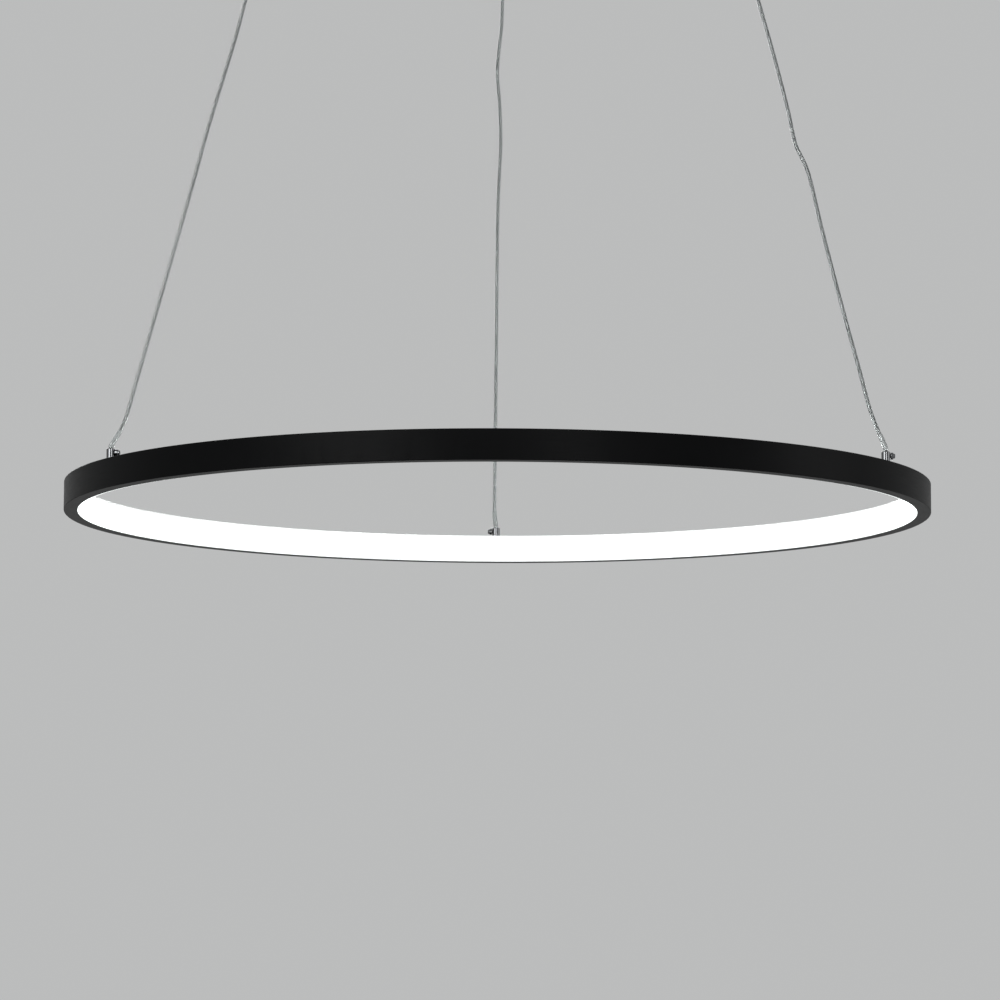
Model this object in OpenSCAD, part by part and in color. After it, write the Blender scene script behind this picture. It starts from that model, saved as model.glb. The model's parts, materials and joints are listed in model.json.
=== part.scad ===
// Ring chandelier: a thin lit ring on three slanting cords under a round canopy.
// Millimetres, +Z up. The origin is on the ceiling face, on the canopy's axis.

/* [Ring] */
// Outer diameter of the ring
ring_d = 600; // [560:10:620]
// Height of the ring profile
profile_h = 20; // [18:0.5:26]
// Radial width of the metal profile, without its diffuser
profile_w = 9.4; // [9:0.1:12]
// Thickness of the profile's upper and lower flanges
flange_t = 1.2; // [1:0.1:1.6]
// Thickness of the profile's outer wall
web_t = 1.1; // [0.9:0.05:1.2]
// Thickness of the diffuser's lit face
diffuser_t = 1; // [0.8:0.1:1.6]
// Height that the diffuser's face stays short of the profile, at each edge
diffuser_margin = 0.2; // [0.1:0.05:0.6]
// Depth of the diffuser's snap legs
leg_depth = 2.2; // [1.8:0.1:2.3]
// Thickness of the diffuser's snap legs
leg_t = 0.8; // [0.6:0.05:1]
// Radius of the snap bead on each leg and of its groove
bead_r = 0.3; // [0.2:0.05:0.4]
// Angle of the butt seam, where the rolled profile closes on itself
seam_angle = 150; // [135:1:175]
// Width of the butt seam
seam_w = 0.2; // [0.1:0.05:0.4]

/* [Light] */
// Width of the flexible light strip
strip_w = 10; // [8:0.5:11]
// Thickness of the flexible light strip
strip_t = 0.3; // [0.2:0.05:0.5]
// Angle that the light strip covers
strip_angle = 358; // [350:1:359]
// Number of light chips
chip_count = 108; // [54:54:162]
// Length of a light chip, along the ring
chip_l = 3.5; // [2.8:0.1:5]
// Width of a light chip
chip_w = 2.8; // [2:0.1:3.4]
// Thickness of a light chip
chip_t = 0.7; // [0.5:0.05:1]

/* [Ring joiner] */
// Length of each joiner plate along the ring
joiner_l = 52; // [40:1:70]
// Radial width of the joiner plates
joiner_w = 4.6; // [4.2:0.1:4.8]
// Thickness of the joiner plates
joiner_t = 1.5; // [1.2:0.1:2]
// Diameter of the grub screws that hold the joiner plates
grub_d = 2.4; // [2:0.1:2.6]
// Length of the grub screws
grub_l = 2.4; // [2:0.1:3]
// Distance of the grub screws from the seam
grub_offset = 17; // [12:1:18]

/* [Cord anchors] */
// Distance of the anchors' axes from the ring's outer face
anchor_inset = 4; // [3.8:0.1:4.2]
// Diameter of an anchor barrel
barrel_d = 5.8; // [5.2:0.1:6.2]
// Height of an anchor barrel above the ring
barrel_h = 6.5; // [6:0.1:9]
// Chamfer on the barrel's rim
barrel_chamfer = 0.35; // [0.2:0.05:0.6]
// Diameter of the threaded stud under a barrel
stud_d = 4; // [3.8:0.1:4.2]
// Length of the stud beyond its nut
stud_tip = 0.5; // [0.3:0.1:0.8]
// Width across flats of the anchor nuts
anchor_nut_af = 5.5; // [5.3:0.05:5.5]
// Thickness of the anchor nuts
anchor_nut_t = 2.2; // [1.8:0.1:2.4]
// Diameter of a clamp screw's shank
screw_d = 2; // [1.6:0.1:2.4]
// Height of the clamp screws above the ring's top face
screw_height = 3.7; // [3.4:0.1:3.8]
// Diameter of a clamp screw's head
screw_head_d = 4.6; // [4:0.1:5.2]
// Thickness of a clamp screw's head
screw_head_t = 1.9; // [1.5:0.1:2.4]
// Diameter of the raised end of a clamp screw
screw_end_d = 3.2; // [2.4:0.1:3.6]
// Length of the raised end of a clamp screw
screw_end_l = 1.2; // [0.8:0.1:1.6]
// Width of the slot in a clamp screw
screw_slot_w = 0.6; // [0.4:0.05:0.8]
// Depth of the slot in a clamp screw
screw_slot_depth = 0.7; // [0.5:0.05:0.8]
// Diameter of the crimped stop on a cord's lower end
stop_d = 3.8; // [3.4:0.1:4]
// Length of the crimped stop
stop_l = 2.6; // [2:0.1:2.8]
// Diameter of the feed wires inside the profile
feed_wire_d = 1; // [0.8:0.05:1.2]
// Diameter of the solder pads on the light strip
pad_d = 2.4; // [2:0.1:3]
// Thickness of the solder pads
pad_t = 0.5; // [0.3:0.05:0.6]

/* [Suspension] */
// Drop from the ceiling to the underside of the ring
drop = 840; // [820:5:860]
// Diameter of the suspension cords
cord_d = 2.6; // [2.4:0.05:2.8]
// Radius of the circle on which the cord grips sit
grip_circle_r = 75; // [72:0.5:77]

/* [Canopy] */
// Diameter of the canopy cover
canopy_d = 180; // [178:1:190]
// Depth of the canopy cover
canopy_h = 38; // [36:1:46]
// Sheet thickness of the canopy cover
canopy_t = 1; // [0.8:0.1:1.4]
// Outer corner radius of the canopy cover
canopy_corner_r = 5; // [3:0.5:6]
// Diameter of the threaded shanks of the cover screws
cover_screw_d = 4; // [3.5:0.1:5]
// Length of the cover screws' shanks
cover_screw_l = 7; // [6:0.5:9]
// Diameter of the cover screws' heads
cover_screw_head_d = 7.4; // [6.5:0.1:8.5]
// Thickness of the cover screws' heads
cover_screw_head_t = 2.4; // [2:0.1:3]
// Depth of the cover screws below the ceiling
cover_screw_depth = 8; // [7.5:0.25:9]

/* [Ceiling bracket] */
// Thickness of the bracket's steel
bracket_t = 1.5; // [1.2:0.1:2]
// Width of the bracket's crossbar
bar_w = 30; // [26:1:36]
// Height of the turned-down ends of the crossbar
tab_h = 14; // [13:0.5:16]
// Width of the turned-down ends
tab_w = 18; // [14:1:20]
// Distance between the centres of the two ceiling slots
slot_spacing = 84; // [78:1:88]
// Overall length of a ceiling slot
slot_l = 24; // [18:1:28]
// Width of a ceiling slot
slot_w = 5.2; // [4.6:0.1:6]
// Width of the tongue that carries the terminal block
tongue_w = 38; // [36:1:44]
// Distance from the crossbar's centre line to the tongue's end
tongue_reach = 48; // [47:0.5:51]
// Diameter of the mains cable hole
cable_hole_d = 12; // [10:0.5:14]
// Distance of the mains cable hole from the crossbar's centre line
cable_hole_offset = 18; // [17:0.5:19]
// Height of the turned-down earth lug
lug_h = 12; // [11:0.5:13]
// Width of the earth lug
lug_w = 14; // [12:1:16]
// Diameter of the earth screw
earth_screw_d = 4; // [3.5:0.1:4.5]
// Diameter of the earth screw's head
earth_head_d = 7.5; // [7:0.1:8]

/* [Terminal block] */
// Length of the terminal block
block_l = 30; // [28:0.5:32]
// Width of the terminal block
block_w = 17; // [15:0.5:18]
// Height of the terminal block
block_h = 13; // [12:0.25:14]
// Distance of the block's centre from the crossbar's centre line
block_offset = 36; // [35:0.25:37]
// Distance between neighbouring poles
pole_pitch = 10; // [9:0.1:10]
// Diameter of the wire entries
entry_d = 3.4; // [3:0.1:3.8]
// Diameter of the terminal screws
terminal_screw_d = 3.6; // [3:0.1:4]
// Depth of the terminal screws' wells
well_depth = 2; // [1.5:0.1:2.5]

/* [Light driver] */
// Length of the driver's case
driver_l = 118; // [110:1:120]
// Width of the driver's case
driver_w = 38; // [36:0.5:40]
// Height of the driver's case with its lid
driver_h = 21; // [20:0.5:22]
// Wall thickness of the driver's case
driver_wall = 1.6; // [1.2:0.1:2]
// Thickness of the driver's lid
lid_t = 2; // [1.5:0.1:2.5]
// Depth of the lid's locating rim
lid_rim_h = 2; // [1.5:0.25:3]
// Distance of the driver's centre line from the crossbar's
driver_offset = 24; // [23:0.5:25]
// Length of each fixing ear
ear_l = 11; // [10:0.5:12]
// Width of each fixing ear
ear_w = 14; // [12:0.5:16]
// Thickness of the fixing ears
ear_t = 2.4; // [2:0.1:3]
// Diameter of the weld studs that hold the driver
weld_stud_d = 3; // [2.6:0.1:3.4]
// Length of the weld studs above the canopy's floor
weld_stud_l = 7; // [6:0.5:9]
// Width across flats of the driver nuts
driver_nut_af = 5.5; // [5:0.1:6]
// Thickness of the driver nuts
driver_nut_t = 2.4; // [2:0.1:3]
// Diameter of the leads
lead_d = 2; // [1.6:0.1:2.2]
// Diameter of the crimped lead splices
splice_d = 6; // [5.5:0.1:6.5]
// Length of the crimped lead splices
splice_l = 14; // [12:0.5:15]

/* [Cord grip] */
// Diameter of a grip's threaded stem
stem_d = 10; // [9.6:0.1:11]
// Height of the stem above the canopy's underside
stem_h = 11; // [10.5:0.25:13]
// Diameter of the flange under the canopy
grip_flange_d = 14; // [13:0.5:16]
// Thickness of the flange
grip_flange_h = 3; // [2:0.25:4]
// Diameter of a grip's nose
nose_d = 9; // [8.6:0.1:10]
// Length of a grip's nose below its flange
nose_h = 12; // [11:0.25:14]
// Roof thickness over the spring chamber
roof_t = 2; // [1.5:0.1:2.2]
// Diameter of the spring chamber
chamber_d = 8; // [7.8:0.1:8.2]
// Height of the straight part of the spring chamber
chamber_h = 4; // [3.5:0.1:4.5]
// Outer diameter of the release plunger
plunger_d = 5.4; // [5.2:0.05:5.6]
// Length of the plunger below the nose at rest
plunger_out = 5; // [4.5:0.1:6]
// Diameter of the plunger's finger rim
rim_d = 7.4; // [7:0.1:8.5]
// Thickness of the plunger's finger rim
rim_t = 1.8; // [1.2:0.1:2]
// Diameter of the collar under the spring
collar_d = 6.8; // [6.4:0.1:7]
// Thickness of the collar
collar_t = 1; // [0.8:0.1:1.3]
// Travel of the release plunger
plunger_travel = 2.2; // [1.5:0.1:2.4]
// Diameter of the gripping balls
ball_d = 1.9; // [1.7:0.05:2]
// Distance from the nose's end up to the balls' centres
ball_height = 12; // [11.5:0.1:12.5]
// Mean diameter of the spring
spring_d = 5.8; // [5.4:0.1:6.2]
// Wire diameter of the spring
spring_wire_d = 0.5; // [0.4:0.05:0.6]
// Number of coils in the spring
spring_turns = 4; // [3:0.5:4.5]
// Width across flats of the grip nuts
grip_nut_af = 14; // [13:0.5:15]
// Thickness of the grip nuts
grip_nut_t = 3.5; // [3:0.25:4]

/* [Hidden] */

// Clearances of the fits
running_gap = 0.05;
seat_gap = 0.1;
hole_gap = 0.2;
eps = 0.01;

// Small forms that no other size drives
fold_r = bracket_t + 1.5;
plate_corner_r = 3;
edge_chamfer = 0.4;
edge_r = 0.5;
rib_h = 0.8;
rib_t = 0.6;
screw_round = 0.35;
cover_slot_w = 1;
earth_depth = 7;
earth_head_t = 2.4;
earth_shank_l = 3.6;
tag_t = 0.8;
terminal_screw_t = 2.6;
terminal_slot_w = 0.8;
groove_depth = 4;
shoulder = 2;
driver_corner_r = 3;
lead_spread = 3;
board_t = 1.6;
board_foot = 2.6;
foot_d = 4;
foot_inset = 5;
transformer_w = 18;
transformer_h = 11;
reservoir_d = 9;
smoother_d = 8;
can_h = 10;
can_offset = 30;
film_l = 13;
film_w = 5;
film_offset = 43;
sink_l = 16;
sink_w = 3;
sink_offset = 18;
splice_entry = 4;
splice_waist = 1.2;
spring_steps = 8;

// Angles of the three cords round the ring, the far one first
cord_angles = [90, 210, 330];
// Directions in which the three clamp screws point, from +X
screw_angles = [180, -12, 8];

// Levels and radii of the ring
ring_r = ring_d / 2;
ring_bottom = -drop;
ring_top = ring_bottom + profile_h;
ring_mid = ring_bottom + profile_h / 2;
flange_end_r = ring_r - profile_w;
web_in_r = ring_r - web_t;
diffuser_out_r = flange_end_r - seat_gap;
diffuser_in_r = diffuser_out_r - diffuser_t;
channel_half = profile_h / 2 - flange_t;
leg_end_r = diffuser_out_r + leg_depth;
bead_at_r = leg_end_r - 2 * bead_r;
leg_half = channel_half - seat_gap;
strip_in_r = web_in_r - running_gap - strip_t;

// Levels of the anchors
anchor_r = ring_r - anchor_inset;
barrel_top = ring_top + barrel_h;
stud_l = flange_t + anchor_nut_t + stud_tip;
cord_bore_d = cord_d + 2 * seat_gap;
joiner_mid_r = leg_end_r + seat_gap + joiner_w / 2;

// Levels of the canopy and its bracket
canopy_r = canopy_d / 2;
canopy_bottom = -canopy_h;
canopy_floor = canopy_bottom + canopy_t;
canopy_in_r = canopy_r - canopy_t;
tab_out = sqrt(pow(canopy_in_r, 2) - pow(tab_w / 2, 2)) - 2 * hole_gap;
block_top = -bracket_t;
block_mid = block_top - block_h / 2;
driver_bottom = canopy_floor + seat_gap;
driver_top = driver_bottom + driver_h;
stud_x = driver_l / 2 + ear_l / 2;
board_l = driver_l - 14;
board_w = driver_w - 6;
board_z = driver_bottom + driver_wall + board_foot + board_t + seat_gap;
pad_turn = 4 / strip_in_r * 180 / PI;
lug_y = -block_offset;

// Levels inside a cord grip
flange_bottom = canopy_bottom - grip_flange_h;
nose_bottom = flange_bottom - nose_h;
mouth_z = nose_bottom - plunger_out;
stem_top = canopy_bottom + stem_h;
chamber_top = stem_top - roof_t;
cone_top = chamber_top - chamber_h;
ball_z = nose_bottom + ball_height;
ball_orbit = cord_d / 2 + ball_d / 2 + running_gap / 2;
guide_r = plunger_d / 2 + running_gap;
cone_at_ball = ball_orbit + ball_d / 2 + running_gap;
cone_slope = (chamber_d / 2 - cone_at_ball) / (cone_top - ball_z);
cone_bottom = ball_z - (cone_at_ball - guide_r) / cone_slope;
collar_top = cone_top - 2.5;
spring_bottom = collar_top + running_gap;
spring_top = chamber_top - running_gap;

// Facets of round solids, and of swept wires
$fn = 96;
wire_sides = 8;
thin_sides = 6;

// Cord routes: radius from the lamp's axis, sideways offset, height
route_1 = [
    [75, 0, -58], [75, 0, -60], [75.4, 0, -63], [77, 0, -68], [84, 0, -92], [128, 0.6, -244],
    [160, 2, -356], [177, 3, -414], [181.5, 3.1, -430], [185, 2.8, -441], [188, 2.3, -451],
    [190.4, 1.3, -459], [193, 0.3, -468], [196, -0.4, -478], [198.4, -0.3, -486], [201.2, 0.6, -496],
    [204.4, 1.5, -507], [209, 2.1, -523], [212.2, 2.2, -534], [217.4, 1.4, -552], [224, 0.5, -574],
    [232, 0, -602], [264, -0.6, -714], [278, -1, -762], [286, -1.2, -788], [291, -1.2, -801],
    [294.2, -0.8, -807], [295.7, -0.4, -810.5], [296, 0, -812.5], [296, 0, -813.5]
];
route_2 = [
    [75, 0, -58], [75, 0, -60], [75.4, 0, -63], [77, 0, -68], [84, 0, -93], [120, 0, -218],
    [160, 0, -358], [200, 0, -498], [206.1, 0, -521], [214.3, 0, -548], [227.6, 0, -591], [234.2, 0, -615],
    [241.2, 0, -640], [273.7, 0, -752], [279.8, 0, -773], [285.4, 0, -792], [289.5, 0, -801],
    [293.1, 0, -807], [295.2, 0, -810.5], [295.8, 0, -811.7], [296, 0, -812.7], [296, 0, -813.5]
];
route_3 = [
    [75, 0, -58], [75, 0, -60], [75.4, 0, -63], [77, 0, -68], [85, 0, -93], [122, 0, -218],
    [162.6, 0, -358], [203.4, 0, -497], [207.5, 0, -511], [214.5, 0, -535], [225.5, 0, -576],
    [229.5, 0, -594], [231.4, 0, -601], [234.9, 0, -608], [239.6, 0, -618], [250.4, 0, -660],
    [265.5, 0, -716], [277.2, 0, -757], [285, 0, -785], [290.1, 0, -798], [293.8, 0, -806],
    [295.7, 0, -810.5], [296, 0, -812.5], [296, 0, -813.5]
];

// Ways of the cords' tails inside the canopy, past their grips
tail_ways = [
    [[1, 74.5, -20.5], [5, 72, -17.5], [11, 69, -17], [18, 66, -17]],
    [[-65.2, -36.5, -20.5], [-65.7, -32, -17.5], [-66, -26, -17], [-66.4, -19, -17]],
    [[65.2, -36.5, -20.5], [65.7, -32, -17.5], [66.2, -26, -17], [66.8, -19, -17]]
];

// Ways of the leads inside the canopy
live_way = [
    [-10, -30, -8], [-10, -23, -8], [-13, -16, -9.5], [-23, -8, -13], [-40, -2, -17],
    [-58, 1, -21], [-69, 8, -25], [-71.5, 16, -26.4], [-67, 21, -26.4], [-60, 21, -26.4], [-56, 21, -26.4]
];
neutral_way = [
    [0, -30, -8], [0, -23, -8], [-3, -16, -8], [-13, -7, -10], [-40, 2, -14],
    [-60, 2.5, -19], [-73, 14, -24], [-75, 22, -26.4], [-70, 27, -26.4], [-60, 27, -26.4], [-56, 27, -26.4]
];
earth_way = [
    [10, -42, -8], [10, -49, -8], [12, -53, -8], [16.5, -54.5, -8], [19.6, -51, -8], [20.2, -45, -7.5],
    [20.2, -43, -7.3]
];
plus_way = [
    [31, 60.4, -17], [37, 57.9, -17], [50, 52, -18.5], [62, 45, -22], [69, 36, -25.5], [67, 29, -26.4],
    [60, 27, -26.4], [56, 27, -26.4]
];
minus_way = [
    [67.9, -6, -17], [68.3, -2, -17.3], [69.5, 4, -20], [71, 11, -24], [69.5, 17.5, -26.2],
    [65, 20.5, -26.4], [60, 21, -26.4], [56, 21, -26.4]
];

// Way of a feed wire from a cord's end to its solder pad, in that cord's plane
feed_way = [
    [0, 296, -826.7], [0, 296, -828], [0.6, 296.1, -829.2], [2, 296.6, -829.9], [3.4, 297.4, -830],
    [4, 298.2, -830]
];

function unit(v) = v / norm(v);

function along(path, i) =
    unit(path[min(i + 1, len(path) - 1)] - path[max(i - 1, 0)]);

function wire_ring(path, i, r, sides, side_way) =
    let (t = along(path, i), u = unit(cross(side_way, t)), v = cross(t, u))
    [for (k = [0 : sides - 1]) path[i] + r * (cos(360 * k / sides) * u + sin(360 * k / sides) * v)];

// A cord's route in its own upright plane, with the radius along +Y
function in_plane(route) = [for (p = route) [p[1], p[0], p[2]]];

// A point on a grip's axis
function grip_spot(i, z) =
    [grip_circle_r * cos(cord_angles[i]), grip_circle_r * sin(cord_angles[i]), z];

// A cord's run up through its grip, and on along its way inside the canopy
function tail_path(i) = concat(
    [grip_spot(i, mouth_z), grip_spot(i, stem_top), grip_spot(i, stem_top + 2)],
    tail_ways[i]
);

function tail_end(i) = tail_ways[i][len(tail_ways[i]) - 1];

function tail_way_out(i) = unit(tail_end(i) - tail_ways[i][len(tail_ways[i]) - 2]);

// A lead's path out of the splice on a cord's tail
function spliced_path(i, way) = concat(
    [tail_end(i) + (splice_l - 2 * splice_entry) * tail_way_out(i)],
    way
);

// A wire swept along a list of points
module wire(path, d, sides, side_way) {
    n = len(path);
    points = [for (i = [0 : n - 1]) each wire_ring(path, i, d / 2, sides, side_way)];
    walls = [
        for (i = [0 : n - 2])
            for (k = [0 : sides - 1])
                let (a = i * sides + k, b = i * sides + (k + 1) % sides)
                each [[a, a + sides, b], [b, a + sides, b + sides]]
    ];
    first_cap = [for (k = [1 : sides - 2]) [0, k, k + 1]];
    end = (n - 1) * sides;
    last_cap = [for (k = [1 : sides - 2]) [end, end + k + 1, end + k]];
    polyhedron(points, concat(first_cap, walls, last_cap), convexity = 10);
}

// Places its children on one cord's axis line, turned to face outwards
module at_cord(i, radius) {
    rotate([0, 0, cord_angles[i] - 90]) translate([0, radius, 0]) children();
}

module drill(d, depth) {
    translate([0, 0, -depth / 2]) cylinder(d = d, h = depth);
}

module hex_nut(across_flats, height, bore_d) {
    difference() {
        cylinder(d = across_flats / cos(30), h = height, $fn = 6);
        translate([0, 0, height / 2]) drill(bore_d, 2 * height);
    }
}

module rounded_rectangle(length, width, r) {
    square([length - 2 * r, width], center = true);
    square([length, width - 2 * r], center = true);
    for (x = [-1, 1])
        for (y = [-1, 1])
            translate([x * (length / 2 - r), y * (width / 2 - r)]) circle(r = r, $fn = 32);
}

module slot_outline(length, width) {
    square([length - width, width], center = true);
    for (x = [-1, 1])
        translate([x * (length - width) / 2, 0]) circle(d = width, $fn = 48);
}

// A folded leg whose outer face is at x = 0 and whose top is at z = 0
module folded_leg(leg, width) {
    rotate([90, 0, 0]) translate([0, 0, -width / 2]) linear_extrude(width) {
        intersection() {
            translate([-fold_r, -fold_r]) difference() {
                circle(r = fold_r);
                circle(r = fold_r - bracket_t);
            }
            translate([-fold_r, -fold_r]) square(fold_r);
        }
        translate([-bracket_t, -leg]) square([bracket_t, leg - fold_r]);
    }
}

// A pan head seated at z = 0, its shank running down
module pan_screw(head_d, head_t, shank_d, shank_l, slot_w) {
    difference() {
        union() {
            rotate_extrude() {
                square([head_d / 2 - head_t / 2, head_t]);
                intersection() {
                    translate([head_d / 2 - head_t, 0]) circle(r = head_t, $fn = 64);
                    square([head_d / 2, head_t]);
                }
            }
            translate([0, 0, -shank_l]) cylinder(d = shank_d, h = shank_l);
        }
        translate([-head_d, -slot_w / 2, head_t / 2]) cube([2 * head_d, slot_w, head_t]);
    }
}

module ceiling_bracket() {
    color("silver") difference() {
        union() {
            translate([0, 0, -bracket_t]) linear_extrude(bracket_t) {
                rounded_rectangle(2 * (tab_out - fold_r) - 2 * hole_gap, bar_w, plate_corner_r);
                square([2 * (tab_out - fold_r), tab_w], center = true);
                translate([0, -tongue_reach / 2])
                    rounded_rectangle(tongue_w - 2 * fold_r, tongue_reach, plate_corner_r);
                translate([0, lug_y]) square([tongue_w - 2 * fold_r, lug_w], center = true);
            }
            for (turn = [0, 180])
                rotate([0, 0, turn]) translate([tab_out, 0, 0]) folded_leg(tab_h, tab_w);
            translate([tongue_w / 2, lug_y, 0]) folded_leg(lug_h, lug_w);
        }
        for (x = [-1, 1]) {
            translate([x * slot_spacing / 2, 0, -2 * bracket_t])
                linear_extrude(3 * bracket_t) slot_outline(slot_l, slot_w);
            translate([x * tab_out, 0, -cover_screw_depth])
                rotate([0, 90, 0]) drill(cover_screw_d + 2 * running_gap, 6 * bracket_t);
        }
        translate([0, -cable_hole_offset, 0]) drill(cable_hole_d, 4 * bracket_t);
        translate([tongue_w / 2, lug_y, -earth_depth])
            rotate([0, 90, 0]) drill(earth_screw_d + 2 * running_gap, 4 * bracket_t);
    }
}

module cover_section() {
    translate([canopy_in_r, canopy_bottom + canopy_corner_r])
        square([canopy_t, canopy_h - canopy_corner_r]);
    translate([0, canopy_bottom]) square([canopy_r - canopy_corner_r, canopy_t]);
    intersection() {
        translate([canopy_r - canopy_corner_r, canopy_bottom + canopy_corner_r]) difference() {
            circle(r = canopy_corner_r, $fn = 64);
            circle(r = canopy_corner_r - canopy_t, $fn = 64);
        }
        translate([canopy_r - canopy_corner_r, canopy_bottom]) square(canopy_corner_r);
    }
}

module canopy_cover() {
    color("dimgray") difference() {
        union() {
            rotate_extrude($fn = 180) cover_section();
            for (x = [-1, 1])
                translate([x * stud_x, driver_offset, canopy_bottom + canopy_t / 2])
                    cylinder(d = weld_stud_d, h = weld_stud_l + canopy_t / 2);
        }
        for (i = [0 : 2])
            at_cord(i, grip_circle_r) translate([0, 0, canopy_bottom])
                drill(stem_d + 2 * seat_gap, 4 * canopy_t);
        for (x = [-1, 1])
            translate([x * canopy_r, 0, -cover_screw_depth])
                rotate([0, 90, 0]) drill(cover_screw_d + 2 * hole_gap, 6 * canopy_t);
    }
}

module cover_screws() {
    color("dimgray") for (turn = [0, 180])
        rotate([0, 0, turn]) translate([canopy_r + seat_gap, 0, -cover_screw_depth])
            rotate([0, 90, 0]) pan_screw(
                cover_screw_head_d, cover_screw_head_t, cover_screw_d, cover_screw_l, cover_slot_w
            );
}

module terminal_block() {
    color("white") difference() {
        translate([-block_l / 2, -block_offset - block_w / 2, block_top - block_h])
            cube([block_l, block_w, block_h]);
        for (x = [-1 : 1])
            translate([x * pole_pitch, -block_offset, block_mid]) {
                rotate([90, 0, 0]) drill(entry_d, 2 * block_w);
                translate([0, 0, -block_h / 2])
                    cylinder(d = terminal_screw_d + 2 * seat_gap, h = well_depth + terminal_screw_t);
            }
        for (x = [-1, 1])
            translate([x * pole_pitch / 2 - 0.5, -block_offset - block_w, block_top - block_h - 1])
                cube([1, 2 * block_w, groove_depth + 1]);
        for (y = [-1, 1])
            translate([-block_l, -block_offset + y * block_w / 2 - shoulder, block_top - block_h - shoulder])
                cube([2 * block_l, 2 * shoulder, 2 * shoulder]);
    }
}

module terminal_screws() {
    color("gold") for (x = [-1 : 1])
        translate([x * pole_pitch, -block_offset, block_top - block_h + well_depth]) difference() {
            cylinder(d = terminal_screw_d, h = terminal_screw_t - seat_gap);
            translate([-terminal_screw_d, -terminal_slot_w / 2, -eps])
                cube([2 * terminal_screw_d, terminal_slot_w, terminal_screw_t / 3]);
        }
}

module earth_screw() {
    color("gold") translate([tongue_w / 2 + seat_gap + tag_t + seat_gap, lug_y, -earth_depth])
        rotate([0, 90, 0]) pan_screw(
            earth_head_d, earth_head_t, earth_screw_d, earth_shank_l, terminal_slot_w
        );
}

module driver_outline(inset) {
    rounded_rectangle(driver_l - 2 * inset, driver_w - 2 * inset, driver_corner_r - inset / 2);
}

module driver_base() {
    color("whitesmoke") translate([0, driver_offset, driver_bottom]) difference() {
        union() {
            linear_extrude(driver_h - lid_t - seat_gap) driver_outline(0);
            linear_extrude(ear_t) rounded_rectangle(driver_l + 2 * ear_l, ear_w, driver_corner_r);
        }
        translate([0, 0, driver_wall]) linear_extrude(driver_h) driver_outline(driver_wall);
        for (x = [-1, 1]) {
            translate([x * stud_x, 0, 0]) drill(weld_stud_d + 2 * hole_gap, 4 * ear_t);
            for (y = [-1, 1])
                translate([x * driver_l / 2, y * lead_spread, driver_h / 2])
                    rotate([0, 90, 0]) drill(lead_d + 2 * hole_gap, 4 * driver_wall);
        }
    }
}

module driver_lid() {
    color("whitesmoke") translate([0, driver_offset, driver_top - lid_t]) {
        linear_extrude(lid_t) driver_outline(0);
        translate([0, 0, -lid_rim_h]) linear_extrude(lid_rim_h) difference() {
            driver_outline(driver_wall + seat_gap);
            driver_outline(2 * driver_wall);
        }
    }
}

module driver_board() {
    translate([0, driver_offset, board_z]) {
        color("darkgreen") translate([0, 0, -board_t]) linear_extrude(board_t)
            rounded_rectangle(board_l, board_w, 1);
        color("darkgreen") for (x = [-1, 1])
            for (y = [-1, 1])
                translate([
                    x * (board_l / 2 - foot_inset), y * (board_w / 2 - foot_inset), -board_t - board_foot
                ]) cylinder(d = foot_d, h = board_foot, $fn = 32);
        color("gold") translate([-transformer_w / 2, -transformer_w / 2, 0])
            cube([transformer_w, transformer_w, transformer_h]);
        color("black") translate([-can_offset, 0, 0]) cylinder(d = reservoir_d, h = can_h, $fn = 48);
        color("black") translate([can_offset, 0, 0]) cylinder(d = smoother_d, h = can_h, $fn = 48);
        color("firebrick") translate([-film_offset, -film_l / 2, 0]) cube([film_w, film_l, can_h]);
        color("silver") translate([sink_offset, -sink_l / 2, 0]) cube([sink_w, sink_l, can_h]);
    }
}

module driver_nuts() {
    color("silver") for (x = [-1, 1])
        translate([x * stud_x, driver_offset, driver_bottom + ear_t + seat_gap])
            hex_nut(driver_nut_af, driver_nut_t, weld_stud_d + 2 * running_gap);
}

module live_lead() {
    color("saddlebrown") wire(live_way, lead_d, thin_sides, [0, 0, 1]);
}

module neutral_lead() {
    color("royalblue") wire(neutral_way, lead_d, thin_sides, [0, 0, 1]);
}

module earth_lead() {
    color("yellowgreen") {
        wire(earth_way, lead_d, thin_sides, [0, 0, 1]);
        translate([tongue_w / 2 + seat_gap, lug_y, -earth_depth]) rotate([0, 90, 0]) difference() {
            union() {
                cylinder(d = earth_head_d, h = tag_t);
                translate([-1.5, -earth_head_d, 0]) cube([3, earth_head_d, tag_t]);
            }
            drill(earth_screw_d + 2 * seat_gap, 4 * tag_t);
        }
    }
}

module plus_lead() {
    color("firebrick") wire(spliced_path(0, plus_way), lead_d, thin_sides, [0, 0, 1]);
}

module minus_lead() {
    color("black") wire(spliced_path(2, minus_way), lead_d, thin_sides, [0, 0, 1]);
}

module splice(i) {
    way = tail_way_out(i);
    translate(tail_end(i) - splice_entry * way) rotate([0, 90, atan2(way.y, way.x)]) difference() {
        rotate_extrude() difference() {
            square([splice_d / 2, splice_l]);
            translate([splice_d / 2, splice_l / 2]) circle(r = splice_waist, $fn = 32);
        }
        drill(cord_d + 2 * seat_gap, 2 * splice_entry + seat_gap);
        translate([0, 0, splice_l]) drill(lead_d + 2 * seat_gap, 2 * splice_entry + seat_gap);
    }
}

module lead_splices() {
    color("gainsboro") for (i = [0 : 2]) splice(i);
}

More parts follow.
